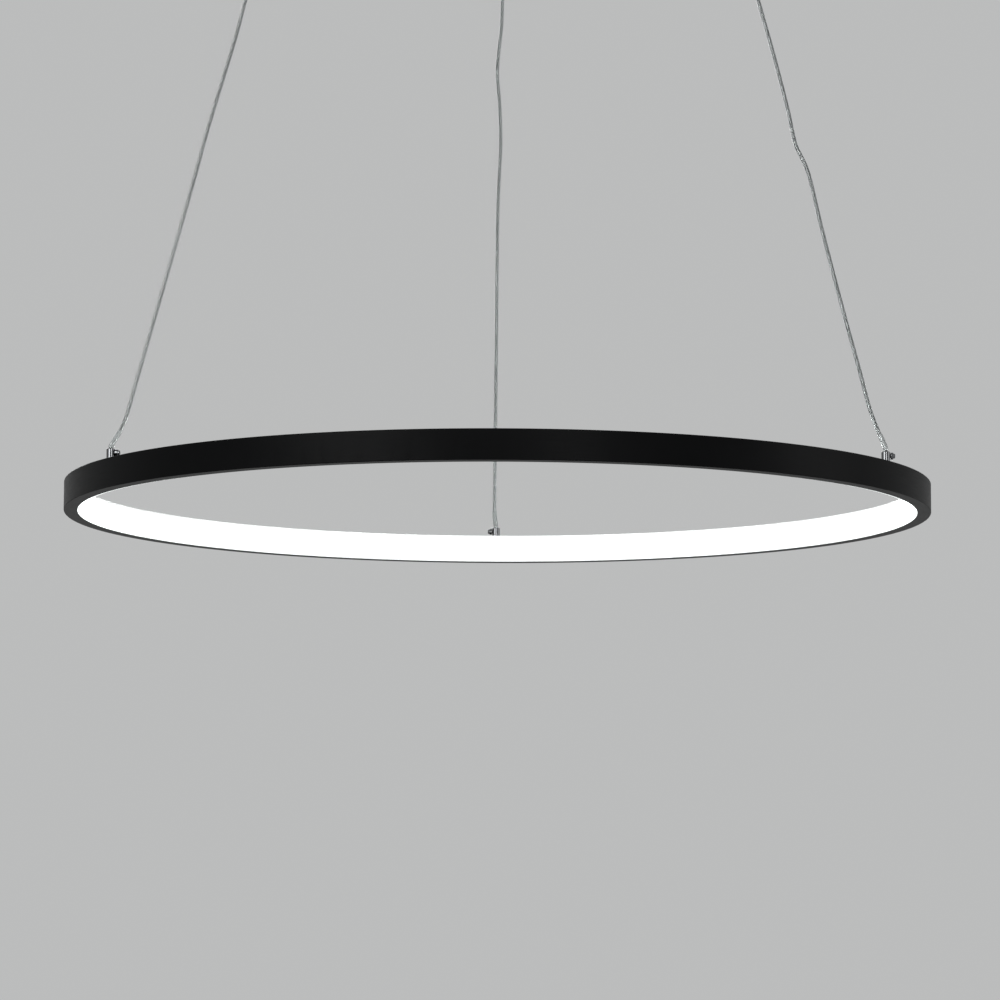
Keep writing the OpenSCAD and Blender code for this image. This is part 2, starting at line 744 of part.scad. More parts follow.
module grip_body(i) {
    color("silver") at_cord(i, grip_circle_r) rotate_extrude() polygon([
        [cord_bore_d / 2, stem_top],
        [stem_d / 2 - edge_chamfer, stem_top],
        [stem_d / 2, stem_top - edge_chamfer],
        [stem_d / 2, canopy_bottom - seat_gap / 2],
        [grip_flange_d / 2, canopy_bottom - seat_gap / 2],
        [grip_flange_d / 2, flange_bottom + edge_chamfer],
        [grip_flange_d / 2 - edge_chamfer, flange_bottom],
        [nose_d / 2, flange_bottom],
        [nose_d / 2, nose_bottom + 2 * edge_chamfer],
        [nose_d / 2 - edge_chamfer, nose_bottom],
        [guide_r, nose_bottom],
        [guide_r, cone_bottom],
        [chamber_d / 2, cone_top],
        [chamber_d / 2, chamber_top],
        [cord_bore_d / 2, chamber_top]
    ]);
}

module grip_nuts() {
    color("silver") for (i = [0 : 2])
        at_cord(i, grip_circle_r) translate([0, 0, canopy_floor + running_gap])
            hex_nut(grip_nut_af, grip_nut_t, stem_d + 2 * running_gap);
}

module grip_plunger(i) {
    color("silver") at_cord(i, grip_circle_r) difference() {
        rotate_extrude() polygon([
            [cord_bore_d / 2, mouth_z],
            [rim_d / 2 - edge_chamfer, mouth_z],
            [rim_d / 2, mouth_z + edge_chamfer],
            [rim_d / 2, mouth_z + rim_t],
            [plunger_d / 2, mouth_z + rim_t],
            [plunger_d / 2, collar_top - collar_t],
            [collar_d / 2, collar_top - collar_t],
            [collar_d / 2, collar_top],
            [cord_bore_d / 2, collar_top]
        ]);
        for (k = [0 : 2])
            rotate([0, 0, 120 * k]) translate([0, plunger_d / 2, ball_z])
                rotate([90, 0, 0]) drill(ball_d + 2 * running_gap, plunger_d / 2 + ball_d / 2);
    }
}

module grip_balls(i) {
    color("gainsboro") at_cord(i, grip_circle_r) for (k = [0 : 2])
        rotate([0, 0, 120 * k]) translate([0, ball_orbit, ball_z]) sphere(d = ball_d, $fn = 32);
}

module grip_spring(i) {
    steps = spring_turns * spring_steps;
    rise = spring_top - spring_bottom - spring_wire_d;
    coil = [
        for (k = [0 : steps])
            let (a = 360 * k / spring_steps)
            [spring_d / 2 * cos(a), spring_d / 2 * sin(a),
             spring_bottom + spring_wire_d / 2 + rise * k / steps]
    ];
    color("gray") at_cord(i, grip_circle_r) wire(coil, spring_wire_d, thin_sides, [0, 0, 1]);
}

module cord_tails() {
    color("lightgray") for (i = [0 : 2])
        let (way = tail_way_out(i))
        wire(tail_path(i), cord_d, wire_sides, [-way.y, way.x, 0]);
}

module cord(i) {
    routes = [route_1, route_2, route_3];
    color("lightgray") at_cord(i, 0) wire(in_plane(routes[i]), cord_d, wire_sides, [1, 0, 0]);
}

module cord_ends() {
    color("lightgray") for (i = [0 : 2])
        at_cord(i, anchor_r) {
            translate([0, 0, ring_top - stud_l - stop_l])
                cylinder(d = cord_d, h = barrel_h + stud_l + stop_l, $fn = 48);
            translate([0, 0, ring_top - stud_l - seat_gap - stop_l]) cylinder(d = stop_d, h = stop_l);
        }
}

module anchor_barrel(i) {
    color("silver") difference() {
        at_cord(i, anchor_r) rotate_extrude() polygon([
            [cord_bore_d / 2, barrel_top],
            [barrel_d / 2 - barrel_chamfer, barrel_top],
            [barrel_d / 2, barrel_top - barrel_chamfer],
            [barrel_d / 2, ring_top],
            [stud_d / 2, ring_top],
            [stud_d / 2, ring_top - stud_l],
            [cord_bore_d / 2, ring_top - stud_l]
        ]);
        at_screw(i) cylinder(d = screw_d + 2 * running_gap, h = barrel_d);
    }
}

module anchor_nuts() {
    color("silver") for (i = [0 : 2])
        at_cord(i, anchor_r) translate([0, 0, ring_top - flange_t - running_gap - anchor_nut_t])
            hex_nut(anchor_nut_af, anchor_nut_t, stud_d + 2 * running_gap);
}

// Places its children on a clamp screw's axis, which then runs along +Z
module at_screw(i) {
    translate([
        anchor_r * cos(cord_angles[i]), anchor_r * sin(cord_angles[i]), ring_top + screw_height
    ]) rotate([0, 90, screw_angles[i]]) children();
}

module clamp_screw(i) {
    tip = cord_d / 2 + running_gap;
    head = barrel_d / 2 + hole_gap;
    total = head + screw_head_t + screw_end_l;
    color("silver") at_screw(i) difference() {
        rotate_extrude() {
            translate([0, tip]) square([screw_d / 2, head - tip]);
            translate([0, head]) square([screw_head_d / 2 - screw_round, screw_head_t]);
            translate([0, head + screw_round])
                square([screw_head_d / 2, screw_head_t - 2 * screw_round]);
            for (y = [head + screw_round, head + screw_head_t - screw_round])
                translate([screw_head_d / 2 - screw_round, y]) circle(r = screw_round, $fn = 32);
            translate([0, head]) square([screw_end_d / 2, screw_head_t + screw_end_l - screw_round]);
            translate([0, head]) square([screw_end_d / 2 - screw_round, screw_head_t + screw_end_l]);
            translate([screw_end_d / 2 - screw_round, total - screw_round])
                circle(r = screw_round, $fn = 32);
        }
        translate([-screw_end_d, -screw_slot_w / 2, total - screw_slot_depth])
            cube([2 * screw_end_d, screw_slot_w, 2 * screw_slot_depth]);
    }
}

module profile_section() {
    difference() {
        union() {
            translate([flange_end_r, -profile_h / 2]) square([profile_w - edge_r, profile_h]);
            translate([flange_end_r, edge_r - profile_h / 2])
                square([profile_w, profile_h - 2 * edge_r]);
            for (y = [-1, 1])
                translate([ring_r - edge_r, y * (profile_h / 2 - edge_r)])
                    circle(r = edge_r, $fn = 32);
        }
        translate([flange_end_r - 1, -channel_half])
            square([web_in_r - flange_end_r + 1, 2 * channel_half]);
        for (y = [-1, 1])
            translate([bead_at_r, y * channel_half]) circle(r = bead_r + running_gap, $fn = 32);
    }
    for (y = [-1, 1])
        translate([web_in_r - rib_h, y * (strip_w / 2 + rib_t) - rib_t / 2])
            square([rib_h + eps, rib_t]);
}

module ring_profile() {
    color("#17191b") difference() {
        translate([0, 0, ring_mid]) rotate_extrude($fn = 240) profile_section();
        for (i = [0 : 2])
            at_cord(i, anchor_r) translate([0, 0, ring_top]) drill(stud_d + 2 * seat_gap, 4 * flange_t);
        rotate([0, 0, seam_angle]) translate([flange_end_r - 1, -seam_w / 2, ring_bottom - 1])
            cube([profile_w + 2, seam_w, profile_h + 2]);
    }
}

module joiner_outline() {
    intersection() {
        difference() {
            circle(r = joiner_mid_r + joiner_w / 2, $fn = 240);
            circle(r = joiner_mid_r - joiner_w / 2, $fn = 240);
        }
        rotate(seam_angle) translate([ring_r / 2, -joiner_l / 2]) square([ring_r, joiner_l]);
    }
}

module at_grub_screws() {
    turn = grub_offset / joiner_mid_r * 180 / PI;
    for (side = [-1, 1])
        rotate([0, 0, seam_angle + side * turn]) translate([joiner_mid_r, 0, 0]) children();
}

module ring_joiners() {
    color("gainsboro") for (level = [channel_half - seat_gap - joiner_t, seat_gap - channel_half])
        translate([0, 0, ring_mid + level]) difference() {
            linear_extrude(joiner_t) joiner_outline();
            at_grub_screws() drill(grub_d + 2 * running_gap, 4 * joiner_t);
        }
}

module joiner_screws() {
    color("gray") for (flip = [0, 1])
        translate([0, 0, ring_mid]) mirror([0, 0, flip]) at_grub_screws()
            translate([0, 0, channel_half - running_gap - grub_l]) difference() {
                cylinder(d = grub_d, h = grub_l);
                drill(grub_d / 2, grub_l);
            }
}

module led_strip() {
    start = seam_angle + (360 - strip_angle) / 2;
    color("ivory") translate([0, 0, ring_mid - strip_w / 2]) rotate([0, 0, start])
        rotate_extrude(angle = strip_angle, $fn = 240)
            translate([strip_in_r, 0]) square([strip_t, strip_w]);
}

module led_chips() {
    color("khaki") for (k = [0 : chip_count - 1])
        rotate([0, 0, 360 * (k + 0.5) / chip_count])
            translate([strip_in_r - eps - chip_t, -chip_l / 2, ring_mid - chip_w / 2])
                cube([chip_t, chip_l, chip_w]);
}

module feed_wires() {
    color("firebrick") for (i = [0, 2])
        at_cord(i, 0) {
            wire(feed_way, feed_wire_d, thin_sides, [-0.4, 0.9, 0]);
            rotate([0, 0, -pad_turn]) translate([0, strip_in_r - eps, ring_mid])
                rotate([90, 0, 0]) cylinder(d = pad_d, h = pad_t);
        }
}

module diffuser_section() {
    face_h = profile_h - 2 * diffuser_margin;
    translate([diffuser_in_r, -face_h / 2]) square([diffuser_t, face_h]);
    for (y = [-1, 1]) {
        translate([diffuser_out_r - eps, y * (leg_half - leg_t / 2) - leg_t / 2])
            square([leg_depth + eps, leg_t]);
        translate([bead_at_r, y * (channel_half - running_gap)]) circle(r = bead_r, $fn = 32);
    }
}

module diffuser() {
    color("white") translate([0, 0, ring_mid]) rotate_extrude($fn = 240) diffuser_section();
}

ceiling_bracket();
canopy_cover();
cover_screws();
terminal_block();
terminal_screws();
earth_screw();
driver_base();
driver_lid();
driver_board();
driver_nuts();
live_lead();
neutral_lead();
earth_lead();
plus_lead();
minus_lead();
lead_splices();
grip_body(0);  // grip_body_1
grip_body(1);  // grip_body_2
grip_body(2);  // grip_body_3
grip_nuts();
grip_plunger(0);  // grip_plunger_1
grip_plunger(1);  // grip_plunger_2
grip_plunger(2);  // grip_plunger_3
grip_balls(0);  // grip_balls_1
grip_balls(1);  // grip_balls_2
grip_balls(2);  // grip_balls_3
grip_spring(0);  // grip_spring_1
grip_spring(1);  // grip_spring_2
grip_spring(2);  // grip_spring_3
cord_tails();
cord(0);  // cord_1
cord(1);  // cord_2
cord(2);  // cord_3
cord_ends();
anchor_barrel(0);  // anchor_barrel_1
anchor_barrel(1);  // anchor_barrel_2
anchor_barrel(2);  // anchor_barrel_3
anchor_nuts();
clamp_screw(0);  // clamp_screw_1
clamp_screw(1);  // clamp_screw_2
clamp_screw(2);  // clamp_screw_3
ring_profile();
ring_joiners();
joiner_screws();
led_strip();
led_chips();
feed_wires();
diffuser();
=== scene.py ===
import json
import math

import bmesh
import bpy
import numpy as np
from mathutils import Matrix, Vector


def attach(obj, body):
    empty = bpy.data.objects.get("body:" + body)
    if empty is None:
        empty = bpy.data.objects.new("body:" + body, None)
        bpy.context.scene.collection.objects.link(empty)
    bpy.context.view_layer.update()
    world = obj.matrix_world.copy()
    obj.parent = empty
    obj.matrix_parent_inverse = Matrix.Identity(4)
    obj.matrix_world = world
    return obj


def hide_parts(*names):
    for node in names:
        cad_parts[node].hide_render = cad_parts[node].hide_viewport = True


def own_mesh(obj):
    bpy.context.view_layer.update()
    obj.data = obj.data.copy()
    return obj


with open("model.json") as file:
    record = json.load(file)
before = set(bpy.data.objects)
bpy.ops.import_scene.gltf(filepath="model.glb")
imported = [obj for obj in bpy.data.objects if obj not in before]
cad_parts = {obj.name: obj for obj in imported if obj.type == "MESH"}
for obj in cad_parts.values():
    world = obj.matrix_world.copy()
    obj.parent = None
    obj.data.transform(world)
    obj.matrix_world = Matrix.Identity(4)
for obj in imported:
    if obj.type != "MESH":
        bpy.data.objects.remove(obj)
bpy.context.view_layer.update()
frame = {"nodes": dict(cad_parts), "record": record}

nodes = frame["nodes"]
slot_of = {part["node"]: part["material_slot"] for part in frame["record"]["subparts"]}

# Sizes and levels of the part's source, in millimetres, and the cords' directions in degrees
MM = 0.001
CORD_ANGLES = {1: 90, 2: 210, 3: 330}
CORD_D = 2.6
LEAD_D = 2
CANOPY_FLOOR = -37
GRIP_CIRCLE = 75
STEM_TOP = -27
MOUTH_Z = -58
ANCHOR_R = 296
BARREL_TOP = -813.5
RING_TOP = -820
STUD_L = 3.9
STOP_L = 2.6
FLANGE_T = 1.2
CHIP_BACK_R = 298.59
CHIP_COUNT = 108

# The ring's middle, in metres
RING_CENTRE = Vector((0, 0, -0.83))

# Cord routes in millimetres: radius from the lamp's axis, sideways offset, height
ROUTES = {
    1: [
        (75, 0, -58), (75, 0, -60), (75.4, 0, -63), (77, 0, -68), (84, 0, -92), (128, 0.6, -244),
        (160, 2, -356), (177, 3, -414), (181.5, 3.1, -430), (185, 2.8, -441), (188, 2.3, -451),
        (190.4, 1.3, -459), (193, 0.3, -468), (196, -0.4, -478), (198.4, -0.3, -486), (201.2, 0.6, -496),
        (204.4, 1.5, -507), (209, 2.1, -523), (212.2, 2.2, -534), (217.4, 1.4, -552), (224, 0.5, -574),
        (232, 0, -602), (264, -0.6, -714), (278, -1, -762), (286, -1.2, -788), (291, -1.2, -801),
        (294.2, -0.8, -807), (295.7, -0.4, -810.5), (296, 0, -812.5), (296, 0, -813.5),
    ],
    2: [
        (75, 0, -58), (75, 0, -60), (75.4, 0, -63), (77, 0, -68), (84, 0, -93), (120, 0, -218),
        (160, 0, -358), (200, 0, -498), (206.1, 0, -521), (214.3, 0, -548), (227.6, 0, -591),
        (234.2, 0, -615), (241.2, 0, -640), (273.7, 0, -752), (279.8, 0, -773), (285.4, 0, -792),
        (289.5, 0, -801), (293.1, 0, -807), (295.2, 0, -810.5), (295.8, 0, -811.7), (296, 0, -812.7),
        (296, 0, -813.5),
    ],
    3: [
        (75, 0, -58), (75, 0, -60), (75.4, 0, -63), (77, 0, -68), (85, 0, -93), (122, 0, -218),
        (162.6, 0, -358), (203.4, 0, -497), (207.5, 0, -511), (214.5, 0, -535), (225.5, 0, -576),
        (229.5, 0, -594), (231.4, 0, -601), (234.9, 0, -608), (239.6, 0, -618), (250.4, 0, -660),
        (265.5, 0, -716), (277.2, 0, -757), (285, 0, -785), (290.1, 0, -798), (293.8, 0, -806),
        (295.7, 0, -810.5), (296, 0, -812.5), (296, 0, -813.5),
    ],
}


# Camera, at the photograph's angle: 7 degrees below the ring's level
def place_camera():
    distance, rise, turn, roll = 3.0, math.radians(7.0), math.radians(-0.2), math.radians(0.189)
    data = bpy.data.cameras.new("camera")
    data.sensor_width = 36
    data.lens = 155.34
    data.clip_start, data.clip_end = 0.05, 60
    camera = bpy.data.objects.new("camera", data)
    bpy.context.scene.collection.objects.link(camera)
    place = RING_CENTRE + distance * Vector((
        math.sin(turn) * math.cos(rise), -math.cos(turn) * math.cos(rise), -math.sin(rise)
    ))
    target = RING_CENTRE + Vector((0.00177, 0, 0.00159))
    forward = (target - place).normalized()
    right = forward.cross(Vector((0, 0, 1))).normalized()
    up = right.cross(forward)
    turned_right = math.cos(roll) * right + math.sin(roll) * up
    turned_up = turned_right.cross(forward)
    basis = Matrix((turned_right, turned_up, -forward)).transposed()
    camera.matrix_world = Matrix.Translation(place) @ basis.to_4x4()
    bpy.context.scene.camera = camera


# Node trees
def new_material(name):
    material = bpy.data.materials.new(name)
    material.use_nodes = True
    tree = material.node_tree
    return material, tree, tree.nodes["Principled BSDF"]


def node(tree, kind, inputs=None, **settings):
    made = tree.nodes.new(kind)
    for key, value in settings.items():
        setattr(made, key, value)
    for key, value in (inputs or {}).items():
        if isinstance(value, bpy.types.NodeSocket):
            tree.links.new(value, made.inputs[key])
        else:
            made.inputs[key].default_value = value
    return made


def math_node(tree, operation, a, b=0.0, c=0.0):
    return node(tree, "ShaderNodeMath", {0: a, 1: b, 2: c}, operation=operation).outputs[0]


def ramp(tree, source, stops):
    made = node(tree, "ShaderNodeValToRGB", {"Fac": source})
    elements = made.color_ramp.elements
    while len(elements) < len(stops):
        elements.new(0.5)
    for element, (place, colour) in zip(elements, stops):
        element.position = place
        element.color = (*colour, 1) if hasattr(colour, "__len__") else (colour, colour, colour, 1)
    return made.outputs["Color"]


def weighted(tree, first, share, second):
    return math_node(
        tree, "ADD", math_node(tree, "MULTIPLY", first, share), math_node(tree, "MULTIPLY", second, 1 - share)
    )


def spread(tree, source, low, high, new_low, new_high):
    return node(
        tree, "ShaderNodeMapRange",
        {"Value": source, "From Min": low, "From Max": high, "To Min": new_low, "To Max": new_high},
    ).outputs[0]


def place_of(tree):
    return node(tree, "ShaderNodeTexCoord").outputs["Object"]


def noise(tree, vector, scale, detail=3.0, roughness=0.55):
    return node(
        tree, "ShaderNodeTexNoise",
        {"Vector": vector, "Scale": scale, "Detail": detail, "Roughness": roughness},
    ).outputs["Fac"]


def bump(tree, shader, height, strength, distance):
    made = node(tree, "ShaderNodeBump", {"Height": height, "Strength": strength, "Distance": distance})
    tree.links.new(made.outputs["Normal"], shader.inputs["Normal"])


def paint(tree, shader, clouds, dark, light):
    tree.links.new(ramp(tree, clouds, [(0.3, dark), (0.7, light)]), shader.inputs["Base Color"])


def roughen(tree, shader, source, smooth, dull, low=0.3, high=0.7):
    tree.links.new(spread(tree, source, low, high, smooth, dull), shader.inputs["Roughness"])


def shade(colour, factor):
    return tuple(min(1.0, channel * factor) for channel in colour)


# A finish with cloudy colour, grain in its roughness and a fine relief
def finish(
    name, colour, rough, metallic=0.0, specular=0.5, mottle=0.12, mottle_scale=60, grain_scale=2500,
    rough_range=0.06, relief=0.08, relief_depth=0.00005, **extra
):
    material, tree, shader = new_material(name)
    where = place_of(tree)
    clouds = noise(tree, where, mottle_scale, 4.0)
    grain = noise(tree, where, grain_scale, 2.0)
    paint(tree, shader, clouds, shade(colour, 1 - mottle), shade(colour, 1 + mottle))
    roughen(tree, shader, grain, rough - rough_range, rough + rough_range)
    shader.inputs["Metallic"].default_value = metallic
    shader.inputs["Specular IOR Level"].default_value = specular
    for key, value in extra.items():
        shader.inputs[key.replace("_", " ")].default_value = value
    bump(tree, shader, grain, relief, relief_depth)
    return material


# Drawn or rolled metal: fine lines that run round the lamp's axis
def ringwise_finish(name, colour, rough, metallic, specular, line_scale, line_relief, mottle=0.15):
    material, tree, shader = new_material(name)
    where = place_of(tree)
    split = node(tree, "ShaderNodeSeparateXYZ", {"Vector": where}).outputs
    reach = math_node(tree, "SQRT", math_node(
        tree, "ADD", math_node(tree, "MULTIPLY", split["X"], split["X"]),
        math_node(tree, "MULTIPLY", split["Y"], split["Y"]),
    ))
    turn = math_node(tree, "MULTIPLY", math_node(tree, "ARCTAN2", split["Y"], split["X"]), 0.004)
    lined = node(tree, "ShaderNodeCombineXYZ", {"X": reach, "Y": turn, "Z": split["Z"]}).outputs[0]
    lines = noise(tree, lined, line_scale, 3.0, 0.7)
    clouds = noise(tree, where, 35, 4.0)
    grain = noise(tree, where, 3500, 2.0)
    paint(tree, shader, clouds, shade(colour, 1 - mottle), shade(colour, 1 + mottle))
    worn = weighted(tree, lines, 0.6, grain)
    roughen(tree, shader, worn, rough - 0.06, rough + 0.08)
    shader.inputs["Metallic"].default_value = metallic
    shader.inputs["Specular IOR Level"].default_value = specular
    bump(tree, shader, worn, line_relief, 0.00003)
    return material


# Zinc plating: blue-white with soft crystals and a faint yellow cast
def zinc_finish():
    material, tree, shader = new_material("zinc_plating")
    where = place_of(tree)
    cells = node(tree, "ShaderNodeTexVoronoi", {"Vector": where, "Scale": 700.0}).outputs["Color"]
    shades = node(tree, "ShaderNodeSeparateColor", {"Color": cells}).outputs["Red"]
    clouds = noise(tree, where, 45, 4.0)
    mixed = weighted(tree, shades, 0.3, clouds)
    tone = ramp(tree, mixed, [
        (0.25, (0.52, 0.54, 0.56)), (0.55, (0.64, 0.65, 0.66)), (0.8, (0.7, 0.68, 0.62)),
    ])
    tree.links.new(tone, shader.inputs["Base Color"])
    roughen(tree, shader, mixed, 0.26, 0.42, low=0.2, high=0.8)
    shader.inputs["Metallic"].default_value = 1.0
    bump(tree, shader, shades, 0.06, 0.00005)
    return material


# The diffuser's light: its strength, its zones in metres from mid height, and the share that its rims give
GLOW_STRENGTH = 20.0
BRIGHT_WITHIN = 0.0052
DARK_BEYOND = 0.0094
RIM_ZONE = (0.0095, 0.0097)
RIM_GLOW = 0.08


# Opal diffuser, lit from within: bright over its middle, dimmer at its edges, faintly marked by the chips
def diffuser_finish():
    material, tree, shader = new_material("opal_diffuser")
    where = place_of(tree)
    clouds = noise(tree, where, 90, 3.0)
    paint(tree, shader, clouds, (0.9, 0.92, 0.91), (0.96, 0.97, 0.96))
    split = node(tree, "ShaderNodeSeparateXYZ", {"Vector": where}).outputs
    turn = math_node(tree, "ARCTAN2", split["Y"], split["X"])
    chips = math_node(tree, "COSINE", math_node(tree, "MULTIPLY", turn, CHIP_COUNT))
    glow = math_node(
        tree, "ADD", spread(tree, chips, -1, 1, 0.97, 1.03), spread(tree, clouds, 0.3, 0.7, -0.02, 0.02)
    )
    off = math_node(tree, "ABSOLUTE", math_node(tree, "SUBTRACT", split["Z"], RING_CENTRE.z))
    middle = math_node(tree, "POWER", spread(tree, off, DARK_BEYOND, BRIGHT_WITHIN, 0, 1), 3)
    facing = node(tree, "ShaderNodeNewGeometry").outputs["Normal"]
    flat = node(tree, "ShaderNodeCombineXYZ", {"X": split["X"], "Y": split["Y"]}).outputs[0]
    outward = node(tree, "ShaderNodeVectorMath", {0: flat}, operation="NORMALIZE").outputs[0]
    back = node(
        tree, "ShaderNodeVectorMath", {0: outward, 1: facing}, operation="DOT_PRODUCT"
    ).outputs["Value"]
    face_light = math_node(tree, "MULTIPLY", middle, spread(tree, back, 0.2, 0.6, 1, 0))
    level = node(tree, "ShaderNodeSeparateXYZ", {"Vector": facing}).outputs["Z"]
    rim_light = math_node(
        tree, "MULTIPLY", spread(tree, math_node(tree, "ABSOLUTE", level), 0.8, 0.95, 0, RIM_GLOW),
        spread(tree, off, *RIM_ZONE, 0, 1),
    )
    lit = math_node(tree, "MULTIPLY", glow, math_node(tree, "MAXIMUM", face_light, rim_light))
    light = ramp(tree, math_node(tree, "MULTIPLY", lit, 0.9), [(0.0, (0, 0, 0)), (1.0, (0.94, 1.0, 0.985))])
    tree.links.new(light, shader.inputs["Emission Color"])
    shader.inputs["Emission Strength"].default_value = GLOW_STRENGTH
    shader.inputs["Roughness"].default_value = 0.42
    bump(tree, shader, noise(tree, where, 3000, 2.0), 0.05, 0.00003)
    return material


# Clear plastic: faint draw lines and a slight cloudiness
def clear_finish(name, scale, dark, light, smooth, dull, transmission, ior, relief, relief_depth):
    material, tree, shader = new_material(name)
    clouds = noise(tree, place_of(tree), scale, 3.0)
    paint(tree, shader, clouds, dark, light)
    roughen(tree, shader, clouds, smooth, dull)
    shader.inputs["Transmission Weight"].default_value = transmission
    shader.inputs["IOR"].default_value = ior
    bump(tree, shader, clouds, relief, relief_depth)
    return material


# Tinned strands: bright metal with fine lines and slightly duller patches
def strand_finish():
    material, tree, shader = new_material("silver_strand")
    where = place_of(tree)
    clouds = noise(tree, where, 900, 3.0)
    paint(tree, shader, clouds, (0.32, 0.333, 0.333), (0.44, 0.458, 0.458))
    roughen(tree, shader, clouds, 0.34, 0.46)
    shader.inputs["Metallic"].default_value = 0.9
    bump(tree, shader, noise(tree, where, 6000, 2.0), 0.1, 0.00002)
    return material


# Printed board: green mask with copper tracks that show through it
def board_finish():
    material, tree, shader = new_material("board_mask")
    where = place_of(tree)
    tracks = node(tree, "ShaderNodeTexBrick", {
        "Vector": where, "Scale": 160.0, "Mortar Size": 0.06, "Color1": (0.012, 0.13, 0.05, 1),
        "Color2": (0.02, 0.17, 0.07, 1), "Mortar": (0.05, 0.26, 0.12, 1),
    })
    tree.links.new(tracks.outputs["Color"], shader.inputs["Base Color"])
    roughen(tree, shader, noise(tree, where, 1500, 2.0), 0.25, 0.4)
    bump(tree, shader, tracks.outputs["Fac"], 0.2, 0.00005)
    return material


LEAD_COLOURS = {
    "brown_lead": (0.16, 0.07, 0.035), "blue_lead": (0.03, 0.13, 0.42), "green_lead": (0.25, 0.42, 0.05),
    "red_lead": (0.5, 0.03, 0.025), "black_lead": (0.015, 0.015, 0.016),
}


def make_materials():
    made = {
        "black_anodised": ringwise_finish(
            "black_anodised", (0.002, 0.0021, 0.0023), 0.4, metallic=0.0, specular=0.04, line_scale=3000,
            line_relief=0.1,
        ),
        "black_painted_steel": finish(
            "black_paint", (0.0035, 0.0037, 0.004), 0.44, specular=0.12, mottle_scale=30, grain_scale=2200,
            relief=0.25, relief_depth=0.00008,
        ),
        "lit_diffuser": diffuser_finish(),
        # Nickel darkened far below bright plating: painted shade that stands in for dark surroundings
        # mirrored in the plated parts
        "nickel": finish(
            "nickel_with_painted_shade", (0.15, 0.153, 0.158), 0.1, metallic=1.0, mottle=0.05, mottle_scale=200,
            grain_scale=9000, rough_range=0.03, relief=0.03, relief_depth=0.00002,
        ),
        "clear_cord": clear_finish(
            "clear_sheath", 400, (0.95, 0.97, 0.96), (1.0, 1.0, 1.0), 0.04, 0.1, transmission=1.0, ior=1.42,
            relief=0.05, relief_depth=0.00003,
        ),
        "zinc_steel": zinc_finish(),
        "spring_steel": finish("spring_steel", (0.5, 0.51, 0.53), 0.28, metallic=1.0, grain_scale=9000),
        "brass": finish("brass", (0.72, 0.53, 0.2), 0.3, metallic=1.0, mottle=0.18, mottle_scale=200),
        "white_plastic": finish("white_plastic", (0.8, 0.8, 0.77), 0.45, mottle=0.03, relief=0.15),
        "circuit_board": board_finish(),
        "light_strip": finish("light_strip", (0.85, 0.85, 0.8), 0.5, mottle=0.05, mottle_scale=200),
        "light_chip": finish("light_chip", (0.9, 0.7, 0.2), 0.3, mottle=0.1, mottle_scale=900),
        "splice_plastic": finish(
            "splice_plastic", (0.7, 0.72, 0.71), 0.28, mottle=0.06, mottle_scale=300, Coat_Weight=0.4,
        ),
    }
    for name, colour in LEAD_COLOURS.items():
        made[name] = finish(name, colour, 0.4, mottle=0.1, mottle_scale=150, grain_scale=3000, relief=0.12)
    return made


materials = make_materials()
strand = strand_finish()
sleeve_film = clear_finish(
    "sleeve_film", 700, (0.9, 0.94, 0.94), (0.97, 1.0, 1.0), 0.1, 0.2, transmission=0.8, ior=1.46,
    relief=0.08, relief_depth=0.00004,
)
ferrite = finish("ferrite", (0.03, 0.031, 0.034), 0.6, mottle=0.2, mottle_scale=400, relief=0.3)
winding_tape = finish("winding_tape", (0.72, 0.56, 0.06), 0.35, mottle=0.08, mottle_scale=250, relief=0.2)
can_sleeve = finish("can_sleeve", (0.012, 0.012, 0.014), 0.3, mottle=0.15, mottle_scale=300, relief=0.1)
can_top = finish("can_top", (0.62, 0.63, 0.65), 0.3, metallic=1.0, mottle_scale=300, grain_scale=6000)
red_epoxy = finish("red_epoxy", (0.38, 0.035, 0.02), 0.25, mottle=0.12, mottle_scale=250, relief=0.2)
yellow_stripe = finish("yellow_stripe", (0.62, 0.5, 0.03), 0.4, mottle=0.1, mottle_scale=150, relief=0.12)


def dress_nodes():
    for name, obj in nodes.items():
        obj.data.materials.clear()
        obj.data.materials.append(materials[slot_of[name]])


# Meshes, made in millimetres
def merge(parts):
    points, faces, first = [], [], 0
    for some_points, some_faces in parts:
        points.append(np.asarray(some_points, float))
        faces += [tuple(k + first for k in face) for face in some_faces]
        first += len(some_points)
    return np.vstack(points), faces


def placed(parts, matrix):
    points, faces = parts
    turned = np.array(matrix)
    return np.asarray(points) @ turned[:3, :3].T + turned[:3, 3], faces


def at_cord(i, radius, z=0.0):
    return Matrix.Rotation(math.radians(CORD_ANGLES[i] - 90), 4, "Z") @ Matrix.Translation((0, radius, z))


def add_mesh(name, parts, material, sharp=40.0):
    points, faces = parts
    mesh = bpy.data.meshes.new(name)
    mesh.from_pydata((np.asarray(points) * MM).tolist(), [], faces)
    mesh.validate()
    form = bmesh.new()
    form.from_mesh(mesh)
    bmesh.ops.recalc_face_normals(form, faces=form.faces)
    form.to_mesh(mesh)
    form.free()
    mesh.polygons.foreach_set("use_smooth", [True] * len(mesh.polygons))
    mesh.set_sharp_from_angle(angle=math.radians(sharp))
    mesh.materials.append(material)
    obj = bpy.data.objects.new(name, mesh)
    bpy.context.scene.collection.objects.link(obj)
    return obj


def add_piece(name, body, slot, parts, material=None, sharp=40.0, replaces=()):
    piece = add_mesh(name, parts, material or materials[slot], sharp)
    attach(piece, body)
    if replaces:
        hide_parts(*replaces)
    return piece


# Faces between the rings of a grid of points, with caps or closed on itself
def grid_faces(rings, around, closed=False):
    faces = []
    for i in range(rings if closed else rings - 1):
        first, second = i * around, (i + 1) % rings * around
        for k in range(around):
            after = (k + 1) % around
            faces.append((first + k, first + after, second + after, second + k))
    if not closed:
        faces.append(tuple(reversed(range(around))))
        faces.append(tuple(range((rings - 1) * around, rings * around)))
    return faces


